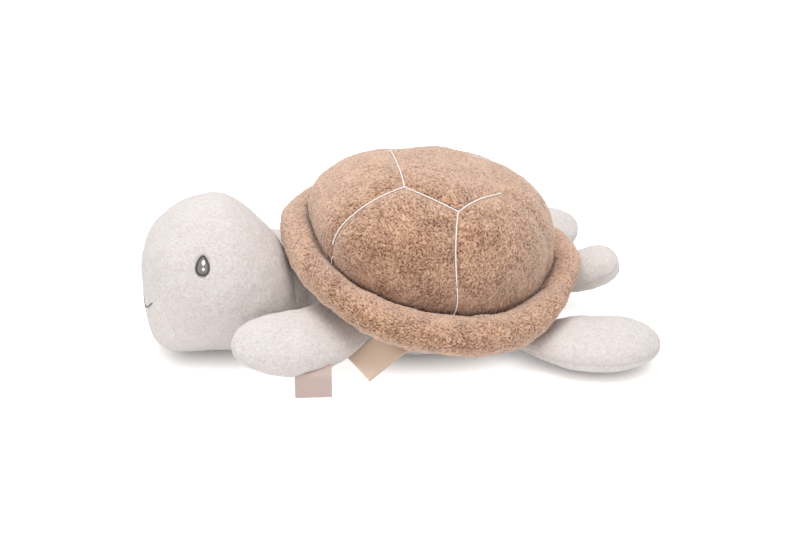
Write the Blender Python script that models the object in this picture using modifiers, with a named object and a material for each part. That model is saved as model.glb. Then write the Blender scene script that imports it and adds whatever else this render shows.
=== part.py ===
"""Plush turtle lying on its belly: pile covers cut from separate panels, the fibre stuffing
inside each of them, an embroidered face, stitched shell lines and two sewn-in ribbon labels.

Metres, +Z up, the floor at Z = 0. The turtle faces -X, and its left side is -Y.
"""

import math

import bmesh
import bpy
from mathutils import Matrix, Vector
from mathutils.bvhtree import BVHTree

MM = 0.001

# Cloth and the clearances between the pieces
SKIN = 2.4 * MM
GAP = 0.3 * MM
SEAM = 0.5 * MM
RIM_SEAM = 1.2 * MM
FILL_GAP = 0.6 * MM
OVERRUN = 40 * MM

# Shell dome and belly, measured at the seam that holds the rim
BODY_HALF_LENGTH = 85 * MM
BODY_HALF_WIDTH = 74 * MM
CROWN_HEIGHT = 125 * MM
CROWN_FALL = 6 * MM
FRONT_CORNER_SHARE = 0.71
REAR_CORNER_SHARE = 1.0
DOME_BULGE = 11 * MM
DOME_FRONT_SHARE = 0.85
DOME_REAR_SHARE = 0.6
BELLY_TUCK_SHARE = 0.5
BELLY_FLAT_SHARE = 0.96
BELLY_POLE_SHARE = 0.08
BODY_SEAM = 0.6 * MM

# Height of the seam that holds the rim: at the front, over the neck, halfway and behind
SEAM_FRONT = 71 * MM
SEAM_ARCH = 4 * MM
SEAM_ARCH_HALF_WIDTH = 42 * MM
SEAM_MIDDLE = 37 * MM
SEAM_REAR = 36 * MM

# Rim: a stuffed roll round the dome, flatter and turned up behind
RIM_REACH_SIDE = 15 * MM
RIM_REACH_FRONT = 13 * MM
RIM_REACH_REAR = 14 * MM
RIM_THICKNESS_SIDE = 13 * MM
RIM_THICKNESS_FRONT = 12 * MM
RIM_THICKNESS_REAR = 9 * MM
RIM_REAR_TILT = math.radians(28)
RIM_SEAM_ANGLE = math.radians(-42)
RIM_SINK = 5 * MM
RIM_LIFT = 8 * MM
RIM_LIFT_ANGLE = math.radians(128)
RIM_LIFT_SPREAD = math.radians(16)

# Shell lines: corners of the top panel, as shares of the half length and half width
TOP_CORNER_SHARES = ((-0.3, -0.39), (0.085, -0.66), (0.49, -0.38), (0.49, 0.38), (0.085, 0.66), (-0.3, 0.39))
LINE_END_SHARES = ((-0.95, -0.57), (-0.05, -1.05), (0.9, -0.5), (0.9, 0.5), (-0.05, 1.05), (-0.95, 0.57))
SIDE_PANEL_NAMES = ("shell_panel_front_left", "shell_panel_rear_left", "shell_panel_rear",
                    "shell_panel_rear_right", "shell_panel_front_right", "shell_panel_front")
LINE_RADIUS = 0.7 * MM
LINE_LIFT = 0.6 * MM
LINE_STEP = 9 * MM
LINE_SHORT = 1.6 * MM
LINE_STOP = 12 * MM

# Head and neck
NECK_OUT = 11 * MM
NECK_X = -(BODY_HALF_LENGTH + NECK_OUT)
HEAD_AHEAD = 55.5 * MM
HEAD_CENTRE_X = NECK_X - HEAD_AHEAD
HEAD_CENTRE_Z = 57 * MM
HEAD_HALF_LENGTH = 50.5 * MM
HEAD_HALF_WIDTH = 52 * MM
HEAD_HALF_HEIGHT = 53 * MM
HEAD_FULLNESS = 2.15
HEAD_REAR_FULLNESS = 2.25
HEAD_TAPER = 62 * MM
HEAD_BOW = 2 * MM
HEAD_FLOOR_GAP = 0.6 * MM
JOWL_FULLNESS = 2.25
JOWL_FRONT_FULLNESS = 4.2
NECK_Z = 32 * MM
NECK_RADIUS = 25.7 * MM
NECK_FRONT_REACH = 74 * MM
NECK_LEVEL_SHARE = 0.07
NECK_SLEEVE = 12 * MM
NECK_BALL_CLEARANCE = 1.3 * MM
NECK_POCKET_CLEARANCE = 0.7 * MM
CHIN_HEIGHT = 12 * MM

# Embroidered face
EYE_HALF_HEIGHT = 8 * MM
EYE_HALF_WIDTH = 5.2 * MM
EYE_THICKNESS = 0.8 * MM
EYE_SEAT = 0.5 * MM
EYE_AHEAD = 10 * MM
EYE_X = HEAD_CENTRE_X - EYE_AHEAD
EYE_Z = 86 * MM
MOUTH_HALF_WIDTH = 33 * MM
MOUTH_Z = 41.5 * MM
MOUTH_RISE = 14 * MM
MOUTH_RADIUS = 0.7 * MM

# Front flippers
FRONT_LENGTH = 88.5 * MM
FRONT_HALF_WIDTH = 24 * MM
FRONT_HALF_THICKNESS = 15 * MM
FRONT_ROOT_HALF_WIDTH = 22 * MM
FRONT_SEAT_ANGLE = math.radians(143)
FRONT_SEAT_HEIGHTS = {-1: 39.5 * MM, 1: 35 * MM}
FRONT_HEADING = math.radians(131)
FRONT_BEND = math.radians(42)
FRONT_PITCHES = {-1: math.radians(9), 1: math.radians(13)}
FRONT_ROLLS = {-1: math.radians(-26.5), 1: math.radians(6)}
FRONT_SWELL_SHARE = 0.52
FRONT_TIP_SHARE = 0.52

# Rear flippers
REAR_LENGTH = 96.5 * MM
REAR_HALF_WIDTH = 28.2 * MM
REAR_HALF_THICKNESS = 14.5 * MM
REAR_ROOT_HALF_WIDTH = 18 * MM
REAR_SEAT_ANGLE = math.radians(48)
REAR_SEAT_HEIGHT = 12.8 * MM
REAR_HEADINGS = {-1: math.radians(42.5), 1: math.radians(48)}
REAR_BENDS = {-1: math.radians(-28), 1: math.radians(-26)}
REAR_PITCH = math.radians(-2.4)
REAR_ROLL = math.radians(0)
REAR_SWELL_SHARE = 0.45
REAR_TIP_SHARE = 0.36

# Tail
TAIL_LENGTH = 58 * MM
TAIL_HALF_WIDTH = 18 * MM
TAIL_HALF_THICKNESS = 13.5 * MM
TAIL_ROOT_HALF_WIDTH = 13 * MM
TAIL_SEAT_HEIGHT = 18.5 * MM
TAIL_PITCH = math.radians(-15.5)
TAIL_SWELL_SHARE = 0.6
TAIL_TIP_SHARE = 0.34

# The sewn edge of a limb, which turns in its seat
ROOT_RADIUS = 6 * MM
SEAT_DEPTH = 3.5 * MM
SEAT_CLEARANCE = 0.8 * MM
LIMB_BEND_SHARE = 0.6

# Sewn-in labels: folded ribbons that bend downwards from the seam
LABEL_THICKNESS = 0.5 * MM
LABEL_HALF_FOLD = 0.9 * MM
LABEL_ROOT = 6 * MM
LABEL_BEND_SHARE = 0.35
FLIPPER_LABEL_WIDTH = 24 * MM
FLIPPER_LABEL_LENGTH = 17 * MM
FLIPPER_LABEL_PLACE = 38 * MM
FLIPPER_LABEL_DIPS = (math.radians(10), math.radians(80))
RIM_LABEL_WIDTH = 23 * MM
RIM_LABEL_LENGTH = 30 * MM
RIM_LABEL_ANGLE = math.radians(-114)
RIM_LABEL_HEIGHT = 27 * MM
RIM_LABEL_HEADING = math.radians(-156)
RIM_LABEL_DIPS = (math.radians(10), math.radians(52))

# How finely each form is divided
BODY_SIDES = 28
BODY_RINGS = 12
RIM_SIDES = 8
HEAD_SIDES = 20
HEAD_RINGS = 12
LIMB_SIDES = 12
LIMB_RINGS = 8
BALL_SIDES = 16
SEAM_STRIPS = 9


def clear_scene():
    for old in list(bpy.data.objects):
        bpy.data.objects.remove(old)


def collection(name):
    made = bpy.data.collections.new(name)
    bpy.context.scene.collection.children.link(made)
    return made


def material(name, colour, roughness):
    made = bpy.data.materials.new(name)
    made.use_nodes = True
    shader = made.node_tree.nodes["Principled BSDF"]
    shader.inputs["Base Color"].default_value = (*colour, 1.0)
    shader.inputs["Roughness"].default_value = roughness
    shader.inputs["Metallic"].default_value = 0.0
    return made


def add_object(name, data, home, finish=None, parent=None):
    """Put a mesh or curve in a collection, with its material and its parent."""
    made = bpy.data.objects.new(name, data)
    home.objects.link(made)
    if finish:
        data.materials.append(finish)
    if parent:
        made.parent = parent
    return made


def add_cutter(name, data, home, parent=None):
    made = add_object(name, data, home, parent=parent)
    made.hide_render = True
    made.display_type = "WIRE"
    return made


def face_outwards(bm):
    bmesh.ops.recalc_face_normals(bm, faces=bm.faces)
    if bm.calc_volume(signed=True) < 0:
        bmesh.ops.reverse_faces(bm, faces=bm.faces)


def mesh_of(name, bm):
    """Turn a bmesh into a smooth-shaded mesh with its faces pointing outwards."""
    face_outwards(bm)
    data = bpy.data.meshes.new(name)
    bm.to_mesh(data)
    bm.free()
    data.shade_smooth()
    return data


def skin(target):
    wall = target.modifiers.new("Cloth", "SOLIDIFY")
    wall.thickness = SKIN
    wall.offset = -1.0
    wall.use_even_offset = False
    return wall


def cut(target, tool, operation):
    """Cut a piece by a closed tool, keeping or removing what lies inside it."""
    boolean = target.modifiers.new(tool.name, "BOOLEAN")
    boolean.operation = operation
    boolean.solver = "EXACT"
    boolean.object = tool
    return boolean


def blend(low, high, value):
    """Smooth step from 0 at low to 1 at high."""
    t = min(1.0, max(0.0, (value - low) / (high - low)))
    return t * t * (3 - 2 * t)


def arc(value):
    """Height of a quarter circle of radius 1 at a distance from its centre."""
    return math.sqrt(max(0.0, 1 - value * value))


def round_end(value, fullness):
    """Like arc, squarer as the fullness grows past 2."""
    return max(0.0, 1 - abs(value) ** fullness) ** (1 / fullness)


def unit_ball(sides, rings):
    bm = bmesh.new()
    bmesh.ops.create_uvsphere(bm, u_segments=sides, v_segments=rings, radius=1)
    return bm


def shrink(bm, depth):
    """Move every point of a closed form straight inwards, to clear the cloth round it."""
    face_outwards(bm)
    bm.normal_update()
    steps = [vert.normal * depth for vert in bm.verts]
    for vert, step in zip(bm.verts, steps):
        vert.co -= step


def ball(name, centre, radius, sides=BALL_SIDES):
    """A ball turned by half a side, so that its edges don't lie on those of the form it cuts."""
    bm = unit_ball(sides, sides // 2)
    turn = Matrix.Rotation(math.pi / sides, 4, "Z")
    bmesh.ops.transform(bm, matrix=Matrix.Translation(centre) @ turn @ Matrix.Scale(radius, 4), verts=bm.verts)
    return mesh_of(name, bm)


def box(name, low, high):
    bm = bmesh.new()
    bmesh.ops.create_cube(bm, size=1)
    middle = (Vector(low) + Vector(high)) / 2
    span = Vector(high) - Vector(low)
    bmesh.ops.transform(bm, matrix=Matrix.Translation(middle) @ Matrix.Diagonal((*span, 1)), verts=bm.verts)
    return mesh_of(name, bm)


def prism(name, outline, low, high):
    """A flat outline as a filled 2D curve, extruded up and down, then made a mesh."""
    curve = bpy.data.curves.new(name, "CURVE")
    curve.dimensions = "2D"
    curve.fill_mode = "BOTH"
    curve.extrude = (high - low) / 2
    spline = curve.splines.new("POLY")
    spline.points.add(len(outline) - 1)
    for point, (x, y) in zip(spline.points, outline):
        point.co = (x, y, 0, 1)
    spline.use_cyclic_u = True
    guide = bpy.data.objects.new(name, curve)
    bpy.context.scene.collection.objects.link(guide)
    graph = bpy.context.evaluated_depsgraph_get()
    data = bpy.data.meshes.new_from_object(guide.evaluated_get(graph))
    bpy.data.objects.remove(guide)
    bm = bmesh.new()
    bm.from_mesh(data)
    bpy.data.meshes.remove(data)
    bmesh.ops.remove_doubles(bm, verts=bm.verts, dist=GAP / 10)
    bmesh.ops.translate(bm, verts=bm.verts, vec=(0, 0, (high + low) / 2))
    return mesh_of(name, bm)


def tube(name, points, radius, home, finish, parent=None):
    """A thread along a chain of points, with filled ends."""
    curve = bpy.data.curves.new(name, "CURVE")
    curve.dimensions = "3D"
    curve.bevel_depth = radius
    curve.bevel_resolution = 1
    curve.use_fill_caps = True
    spline = curve.splines.new("POLY")
    spline.points.add(len(points) - 1)
    for point, place in zip(spline.points, points):
        point.co = (*place, 1)
    return add_object(name, curve, home, finish, parent)


def seam_height(x, y):
    """Height of the body seam: a slope that falls towards the rear, arched over the neck."""
    front, middle, rear = SEAM_FRONT, SEAM_MIDDLE, SEAM_REAR
    t = x / BODY_HALF_LENGTH
    slope = (rear - front) / 2
    bend = (rear + front) / 2 - middle
    arch = SEAM_ARCH * math.exp(-((y / SEAM_ARCH_HALF_WIDTH) ** 2)) * blend(0.4, 1.0, -t)
    return middle + slope * t + bend * t * t + arch


def plan_point(angle):
    """Point of the body seam seen from above: an oval, a little square at its corners."""
    c, s = math.cos(angle), math.sin(angle)
    squareness = FRONT_CORNER_SHARE + (REAR_CORNER_SHARE - FRONT_CORNER_SHARE) * blend(-0.5, 0.5, c)
    x = math.copysign(abs(c) ** squareness, c) * BODY_HALF_LENGTH
    y = math.copysign(abs(s) ** squareness, s) * BODY_HALF_WIDTH
    return x, y


def body_point(direction):
    """Carry a point of the unit ball to the dome above the seam, or to the belly below it."""
    angle = math.atan2(direction.y, direction.x)
    flat = math.hypot(direction.x, direction.y)
    x, y = plan_point(angle)
    seam = seam_height(x, y)
    rise = abs(direction.z)
    if direction.z >= 0:
        crown = CROWN_HEIGHT - CROWN_FALL * x / BODY_HALF_LENGTH
        share = DOME_FRONT_SHARE + (DOME_REAR_SHARE - DOME_FRONT_SHARE) * blend(-0.5, 0.5, math.cos(angle))
        out = flat ** share
        swell = 1 + DOME_BULGE / BODY_HALF_WIDTH * math.sin(math.pi * rise) * rise
        x, y = x * out * swell, y * out * swell
        z = seam + (crown - seam) * rise
    else:
        out = flat ** BELLY_TUCK_SHARE
        x, y = x * out, y * out
        z = seam * max(0.0, 1 - rise / BELLY_FLAT_SHARE)
    return Vector((x, y, z))


def body_form(inset=0.0):
    bm = unit_ball(BODY_SIDES, BODY_RINGS)
    lowest = min(bm.verts, key=lambda vert: vert.co.z)
    for vert in bm.verts:
        vert.co = body_point(vert.co.normalized())
    lowest.co += Vector((BODY_HALF_LENGTH, BODY_HALF_WIDTH, 0)) * BELLY_POLE_SHARE
    if inset:
        shrink(bm, inset)
    return bm


def inset_outline(outline, distance):
    """Draw each side of a convex outline inwards and give the new corners."""
    count = len(outline)
    middle = sum((Vector(point) for point in outline), Vector((0, 0))) / count
    sides = []
    for k in range(count):
        start, end = Vector(outline[k]), Vector(outline[(k + 1) % count])
        along = (end - start).normalized()
        inward = Vector((-along.y, along.x))
        if inward.dot(middle - start) < 0:
            inward = -inward
        sides.append((start + inward * distance, along))
    corners = []
    for k in range(count):
        (p, u), (q, v) = sides[k - 1], sides[k]
        cross = u.x * v.y - u.y * v.x
        reach = ((q.x - p.x) * v.y - (q.y - p.y) * v.x) / cross
        corners.append(tuple(p + u * reach))
    return corners


def rim_section(angle):
    """Reach, thickness and tilt of the rim's section at one place round the shell."""
    front = blend(0.3, 1.0, -math.cos(angle))
    rear = blend(0.35, 1.0, math.cos(angle))
    reach = RIM_REACH_SIDE + (RIM_REACH_FRONT - RIM_REACH_SIDE) * front
    reach += (RIM_REACH_REAR - RIM_REACH_SIDE) * rear
    thickness = RIM_THICKNESS_SIDE + (RIM_THICKNESS_FRONT - RIM_THICKNESS_SIDE) * front
    thickness += (RIM_THICKNESS_REAR - RIM_THICKNESS_SIDE) * rear
    return reach, thickness, RIM_REAR_TILT * rear


def rim_place(angle, around, spread):
    """Point of the rim: around is the angle in its section, spread 1 lies on its surface. The rim rides
    up on the dome at its right front corner."""
    reach, thickness, tilt = rim_section(angle)
    x, y = plan_point(angle)
    outward = Vector((x / BODY_HALF_LENGTH ** 2, y / BODY_HALF_WIDTH ** 2, 0)).normalized()
    centre = math.hypot(reach * math.cos(tilt), thickness * math.sin(tilt)) - RIM_SINK
    p = reach * spread * math.cos(around)
    q = thickness * spread * math.sin(around)
    out = centre + p * math.cos(tilt) - q * math.sin(tilt)
    up = reach * math.sin(tilt) + p * math.sin(tilt) + q * math.cos(tilt)
    up += RIM_LIFT * math.exp(-(((angle - RIM_LIFT_ANGLE) / RIM_LIFT_SPREAD) ** 2))
    return Vector((x, y, seam_height(x, y) + up)) + outward * out


def ring_mesh(sides):
    """A torus primitive of unit sizes, as a bmesh."""
    bpy.ops.mesh.primitive_torus_add(
        major_segments=BODY_SIDES, minor_segments=sides, major_radius=1, minor_radius=0.5)
    made = bpy.context.object
    bm = bmesh.new()
    bm.from_mesh(made.data)
    data = made.data
    bpy.data.objects.remove(made)
    bpy.data.meshes.remove(data)
    return bm


def rim_form(inset=0.0):
    bm = ring_mesh(RIM_SIDES)
    for vert in bm.verts:
        angle = math.atan2(vert.co.y, vert.co.x)
        around = math.atan2(vert.co.z, math.hypot(vert.co.x, vert.co.y) - 1)
        vert.co = rim_place(angle, around, 1)
    if inset:
        shrink(bm, inset)
    return bm


def rim_wedge(first_angle, last_angle):
    """The ring-shaped space below the rim's seam, with its point on the rim's middle line."""
    fan_shares = (0.0, 0.3, 0.65, 1.0)
    corners = len(fan_shares) + 1
    bm = ring_mesh(corners)
    for vert in bm.verts:
        angle = math.atan2(vert.co.y, vert.co.x)
        around = math.atan2(vert.co.z, math.hypot(vert.co.x, vert.co.y) - 1)
        corner = round(around / (2 * math.pi) * corners) % corners
        if corner == 0:
            vert.co = rim_place(angle, 0, 0)
        else:
            turn = first_angle + (last_angle - first_angle) * fan_shares[corner - 1]
            vert.co = rim_place(angle, turn, 2)
    return bm


class Limb:
    """A flipper or the tail: a flat root that turns in its seat, a swelling and a round tip."""

    def __init__(self, name, length, half_width, half_thickness, root_half_width,
                 seat_angle, seat_height, heading, bend, pitch, roll, swell_share, tip_share):
        self.name = name
        self.length = length
        self.half_width = half_width
        self.half_thickness = half_thickness
        self.root_half_width = root_half_width
        self.bend = bend
        self.swell_share = swell_share
        self.tip_share = tip_share
        x, y = plan_point(seat_angle)
        seam = seam_height(x, y)
        rise = BELLY_FLAT_SHARE * (1 - seat_height / seam)
        tuck = arc(rise) ** BELLY_TUCK_SHARE
        wall = Vector((x * tuck, y * tuck, seat_height))
        ahead = Vector((math.cos(heading), math.sin(heading), 0))
        self.place = wall + ahead * (ROOT_RADIUS - SEAT_DEPTH)
        flap = Matrix.Rotation(pitch, 4, "Y") @ Matrix.Rotation(roll, 4, "X")
        self.turn = Matrix.Rotation(heading, 4, "Z") @ flap

    def spine(self, x):
        """Place and heading of the middle line: straight root, an even bend, straight tip."""
        if x <= 0 or self.bend == 0:
            return x, 0.0, 0.0
        bent = self.length * LIMB_BEND_SHARE
        curl = self.bend / bent
        heading = curl * min(x, bent)
        rest = max(0.0, x - bent)
        px = math.sin(heading) / curl + math.cos(heading) * rest
        py = (1 - math.cos(heading)) / curl + math.sin(heading) * rest
        return px, py, heading

    def section(self, x):
        """Half width and half thickness at a distance from the hinge."""
        root = arc(min(0.0, x) / ROOT_RADIUS)
        swell = blend(0.0, self.length * self.swell_share, x)
        tip_length = self.length * self.tip_share
        tip = arc(max(0.0, x - self.length + tip_length) / tip_length)
        width = self.root_half_width + (self.half_width - self.root_half_width) * swell
        thickness = ROOT_RADIUS + (self.half_thickness - ROOT_RADIUS) * swell
        return width * math.sqrt(root) * tip, thickness * root * tip

    def form(self, inset=0.0):
        bm = unit_ball(LIMB_SIDES, LIMB_RINGS)
        for vert in bm.verts:
            direction = vert.co.normalized()
            x = -ROOT_RADIUS + (self.length + ROOT_RADIUS) * (1 - direction.z) / 2
            width, thickness = self.section(x)
            flat = math.hypot(direction.x, direction.y)
            side = direction.x / flat if flat > 0.001 else 0.0
            up = direction.y / flat if flat > 0.001 else 0.0
            px, py, heading = self.spine(x)
            across = width * side
            vert.co = (px - across * math.sin(heading), py + across * math.cos(heading), thickness * up)
        if inset:
            shrink(bm, inset)
        return bm

    def seat(self, name):
        """The space that the root turns in, along the hinge."""
        bm = bmesh.new()
        bmesh.ops.create_cone(
            bm, cap_ends=True, segments=BALL_SIDES, depth=2 * (self.root_half_width + SEAT_CLEARANCE),
            radius1=ROOT_RADIUS + SEAT_CLEARANCE, radius2=ROOT_RADIUS + SEAT_CLEARANCE)
        upright = Matrix.Rotation(math.radians(90), 4, "X")
        bmesh.ops.transform(bm, matrix=Matrix.Translation(self.place) @ self.turn @ upright, verts=bm.verts)
        return mesh_of(name, bm)

    def build(self, home, tools, finishes):
        root = bpy.data.objects.new(self.name + "_hinge", None)
        home.objects.link(root)
        root.matrix_world = Matrix.Translation(self.place) @ self.turn
        reach = self.length + OVERRUN
        for part, low, high in (("top_panel", SEAM / 2, reach), ("bottom_panel", -reach, -SEAM / 2)):
            panel = add_object(self.name + "_" + part, mesh_of(self.name, self.form()), home,
                               finishes["terry"], root)
            skin(panel)
            tool = add_cutter(self.name + "_" + part + "_cut",
                              box(self.name, (-reach, -reach, low), (reach, reach, high)), tools, root)
            cut(panel, tool, "INTERSECT")
        add_object(self.name + "_stuffing", mesh_of(self.name, self.form(SKIN + FILL_GAP)), home,
                   finishes["fibre"], root)
        return root


def head_section(x, fullness):
    """Half width, half height and middle height of the head and neck at a place along X. Behind its
    middle the head narrows more slowly from the sides than from above."""
    behind = (x - NECK_X) / NECK_RADIUS
    ahead = (NECK_X - x) / NECK_FRONT_REACH
    neck = NECK_RADIUS * (arc(behind) if behind > 0 else arc(ahead))
    if x < HEAD_CENTRE_X:
        tall = wide = round_end((x - HEAD_CENTRE_X) / HEAD_HALF_LENGTH, fullness)
    else:
        tall = round_end((x - HEAD_CENTRE_X) / HEAD_HALF_LENGTH, HEAD_REAR_FULLNESS)
        wide = arc((x - HEAD_CENTRE_X) / HEAD_TAPER)
    width = (neck ** 3 + (HEAD_HALF_WIDTH * wide) ** 3) ** (1 / 3)
    height = (neck ** 3 + (HEAD_HALF_HEIGHT * tall) ** 3) ** (1 / 3)
    to_head = blend(NECK_LEVEL_SHARE, 1.0, (NECK_X - x) / (NECK_X - HEAD_CENTRE_X))
    middle = NECK_Z + (HEAD_CENTRE_Z - NECK_Z) * to_head
    middle -= HEAD_BOW * blend(0.0, 1.0, (HEAD_CENTRE_X - x) / HEAD_HALF_LENGTH)
    return width, height, middle


def head_form(inset=0.0):
    bm = unit_ball(HEAD_SIDES, HEAD_RINGS)
    back = NECK_X + NECK_RADIUS
    front = HEAD_CENTRE_X - HEAD_HALF_LENGTH
    for vert in bm.verts:
        direction = vert.co.normalized()
        x = (back + front) / 2 + (back - front) / 2 * direction.z
        flat = math.hypot(direction.x, direction.y)
        side = direction.x / flat if flat > 0.001 else 0.0
        up = direction.y / flat if flat > 0.001 else 0.0
        low = max(0.0, -up)
        width, height, middle = head_section(x, HEAD_FULLNESS + (JOWL_FRONT_FULLNESS - HEAD_FULLNESS) * low)
        if low:
            jowl = blend(0.0, 1.0, (NECK_X - x) / (NECK_X - HEAD_CENTRE_X))
            power = 2 / (2 + (JOWL_FULLNESS - 2) * jowl)
            side = math.copysign(abs(side) ** power, side)
            up = -low ** power
            height = min(height, middle - HEAD_FLOOR_GAP)
        vert.co = (x, width * side, middle + height * up)
    if inset:
        shrink(bm, inset)
    return bm


def seam_tool(name, gap, upward):
    """Everything above or below the body seam, with its face half a gap from the seam."""
    bm = bmesh.new()
    half = BODY_HALF_LENGTH + OVERRUN
    bmesh.ops.create_grid(bm, x_segments=SEAM_STRIPS, y_segments=SEAM_STRIPS, size=half)
    lift = gap / 2 if upward else -gap / 2
    for vert in bm.verts:
        vert.co.z = seam_height(vert.co.x, vert.co.y) + lift
    made = bmesh.ops.extrude_face_region(bm, geom=bm.faces[:])
    for vert in (item for item in made["geom"] if isinstance(item, bmesh.types.BMVert)):
        vert.co.z = CROWN_HEIGHT + OVERRUN if upward else -OVERRUN
    return mesh_of(name, bm)


def shell_point(shares, reach=1.0):
    """Corner of the shell lines, seen from above."""
    return Vector((shares[0] * BODY_HALF_LENGTH * reach, shares[1] * BODY_HALF_WIDTH * reach))


def panel_outlines():
    """The top panel and the side panels round it, seen from above, each drawn in for its seam."""
    corners = [shell_point(share) for share in TOP_CORNER_SHARES]
    ends = [shell_point(share) for share in LINE_END_SHARES]
    count = len(corners)
    outlines = {"shell_top_panel": inset_outline(corners, SEAM / 2)}
    for k, name in enumerate(SIDE_PANEL_NAMES):
        near, far = corners[k], corners[(k + 1) % count]
        near_end = near + (ends[k] - near).normalized() * BODY_HALF_LENGTH * 2
        far_end = far + (ends[(k + 1) % count] - far).normalized() * BODY_HALF_LENGTH * 2
        outlines[name] = inset_outline([near, near_end, far_end, far], SEAM / 2)
    return outlines


def surface_tree(target):
    graph = bpy.context.evaluated_depsgraph_get()
    return BVHTree.FromObject(target, graph)


def thread_over_top(tree, start, end, lift):
    """Points of a line stitched across the dome's top, a little above its facets."""
    steps = max(2, round((end - start).length / LINE_STEP))
    points = []
    for k in range(steps + 1):
        foot = start.lerp(end, k / steps)
        place, slope, _, _ = tree.ray_cast(Vector((*foot, seam_height(*foot))), Vector((0, 0, 1)))
        points.append(place + slope * lift)
    return points


def thread_down_side(tree, start, end, lift):
    """Points of a line stitched from a top corner straight down the dome's side to the rim."""
    foot = Vector((*start, seam_height(*start)))
    outward = (end - start).normalized()
    first = math.atan2(CROWN_HEIGHT - foot.z, LINE_SHORT)
    steps = round((CROWN_HEIGHT + (end - start).length) / LINE_STEP)
    points = []
    for k in range(steps + 1):
        angle = first * (1 - k / steps)
        direction = Vector((*(outward * math.cos(angle)), math.sin(angle)))
        place, slope, _, _ = tree.ray_cast(foot, direction)
        if place.z < seam_height(place.x, place.y) + LINE_STOP:
            break
        points.append(place + slope * lift)
    return points


def shell_lines(home, dome, finish):
    """White stitched lines: round the top panel, and from its corners down to the rim."""
    tree = surface_tree(dome)
    lift = LINE_RADIUS + LINE_LIFT
    corners = [shell_point(share) for share in TOP_CORNER_SHARES]
    ends = [shell_point(share) for share in LINE_END_SHARES]
    for k, start in enumerate(corners):
        end = corners[(k + 1) % len(corners)]
        along = (end - start).normalized() * LINE_SHORT
        points = thread_over_top(tree, start + along, end - along, lift)
        tube("top_line_" + str(k + 1), points, LINE_RADIUS, home, finish)
    for k, (start, end) in enumerate(zip(corners, ends)):
        points = thread_down_side(tree, start, end, lift)
        tube("side_line_" + str(k + 1), points, LINE_RADIUS, home, finish)


def label_profile(length, dips):
    """Outline of a folded ribbon seen from its edge: out along the top and back underneath."""
    shares = (-LABEL_ROOT / length, 0.0, 0.12, 0.24, LABEL_BEND_SHARE, 1.0)
    first, last = dips
    x, z = 0.0, 0.0
    middle, before = [], 0.0
    for share in shares:
        angle = first + (last - first) * blend(0.0, LABEL_BEND_SHARE, (share + before) / 2)
        x += math.cos(angle) * (share - before) * length
        z -= math.sin(angle) * (share - before) * length
        middle.append((x, z, angle))
        before = share
    x, z, angle = middle[-1]
    over = [(x + math.sin(a) * LABEL_HALF_FOLD, z + math.cos(a) * LABEL_HALF_FOLD) for x, z, a in middle]
    under = [(x - math.sin(a) * LABEL_HALF_FOLD, z - math.cos(a) * LABEL_HALF_FOLD) for x, z, a in middle]
    tip = (x + math.cos(angle) * LABEL_HALF_FOLD, z - math.sin(angle) * LABEL_HALF_FOLD)
    return over + [tip] + under[::-1]


def ribbon(name, width, profile, place, home, finish, parent=None):
    """A strip of cloth bent along a profile in its own XZ plane, with its width along Y."""
    bm = bmesh.new()
    edge = [bm.verts.new((x, -width / 2, z)) for x, z in profile]
    edges = [bm.edges.new(pair) for pair in zip(edge, edge[1:])]
    made = bmesh.ops.extrude_edge_only(bm, edges=edges)
    moved = [item for item in made["geom"] if isinstance(item, bmesh.types.BMVert)]
    bmesh.ops.translate(bm, verts=moved, vec=(0, width, 0))
    bmesh.ops.solidify(bm, geom=bm.faces[:], thickness=LABEL_THICKNESS)
    bmesh.ops.transform(bm, matrix=place, verts=bm.verts)
    return add_object(name, mesh_of(name, bm), home, finish, parent)


def build_labels(home, tools, finishes, flipper, flipper_root):
    """One label in the outer edge of the left front flipper, one between the rim and the belly."""
    x, y, heading = flipper.spine(FLIPPER_LABEL_PLACE)
    width, _ = flipper.section(FLIPPER_LABEL_PLACE)
    edge = Vector((x - width * math.sin(heading), y + width * math.cos(heading), 0))
    level = flipper.turn.to_3x3().inverted() @ Vector((0, 0, 1))
    outward = Vector((-math.sin(heading), math.cos(heading), 0))
    outward = (outward - level * outward.dot(level)).normalized()
    turn = Matrix((outward, level.cross(outward), level)).transposed().to_4x4()
    profile = label_profile(FLIPPER_LABEL_LENGTH, FLIPPER_LABEL_DIPS)
    label = ribbon("flipper_label", FLIPPER_LABEL_WIDTH, profile, Matrix.Translation(edge) @ turn, home,
                   finishes["mauve"], flipper_root)
    space = add_cutter("flipper_space", mesh_of("flipper_space", flipper.form(-GAP)), tools, flipper_root)
    cut(label, space, "DIFFERENCE")

    seam_x, seam_y = plan_point(RIM_LABEL_ANGLE)
    seam = seam_height(seam_x, seam_y)
    tuck = arc(BELLY_FLAT_SHARE * (1 - RIM_LABEL_HEIGHT / seam)) ** BELLY_TUCK_SHARE
    wall = Vector((seam_x * tuck, seam_y * tuck, RIM_LABEL_HEIGHT))
    place = Matrix.Translation(wall) @ Matrix.Rotation(RIM_LABEL_HEADING, 4, "Z")
    profile = label_profile(RIM_LABEL_LENGTH, RIM_LABEL_DIPS)
    label = ribbon("rim_label", RIM_LABEL_WIDTH, profile, place, home, finishes["gold"])
    cut(label, tools.objects["body_space"], "DIFFERENCE")
    rim = add_cutter("rim_space", mesh_of("rim_space", rim_form(-GAP)), tools)
    cut(label, rim, "DIFFERENCE")


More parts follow.
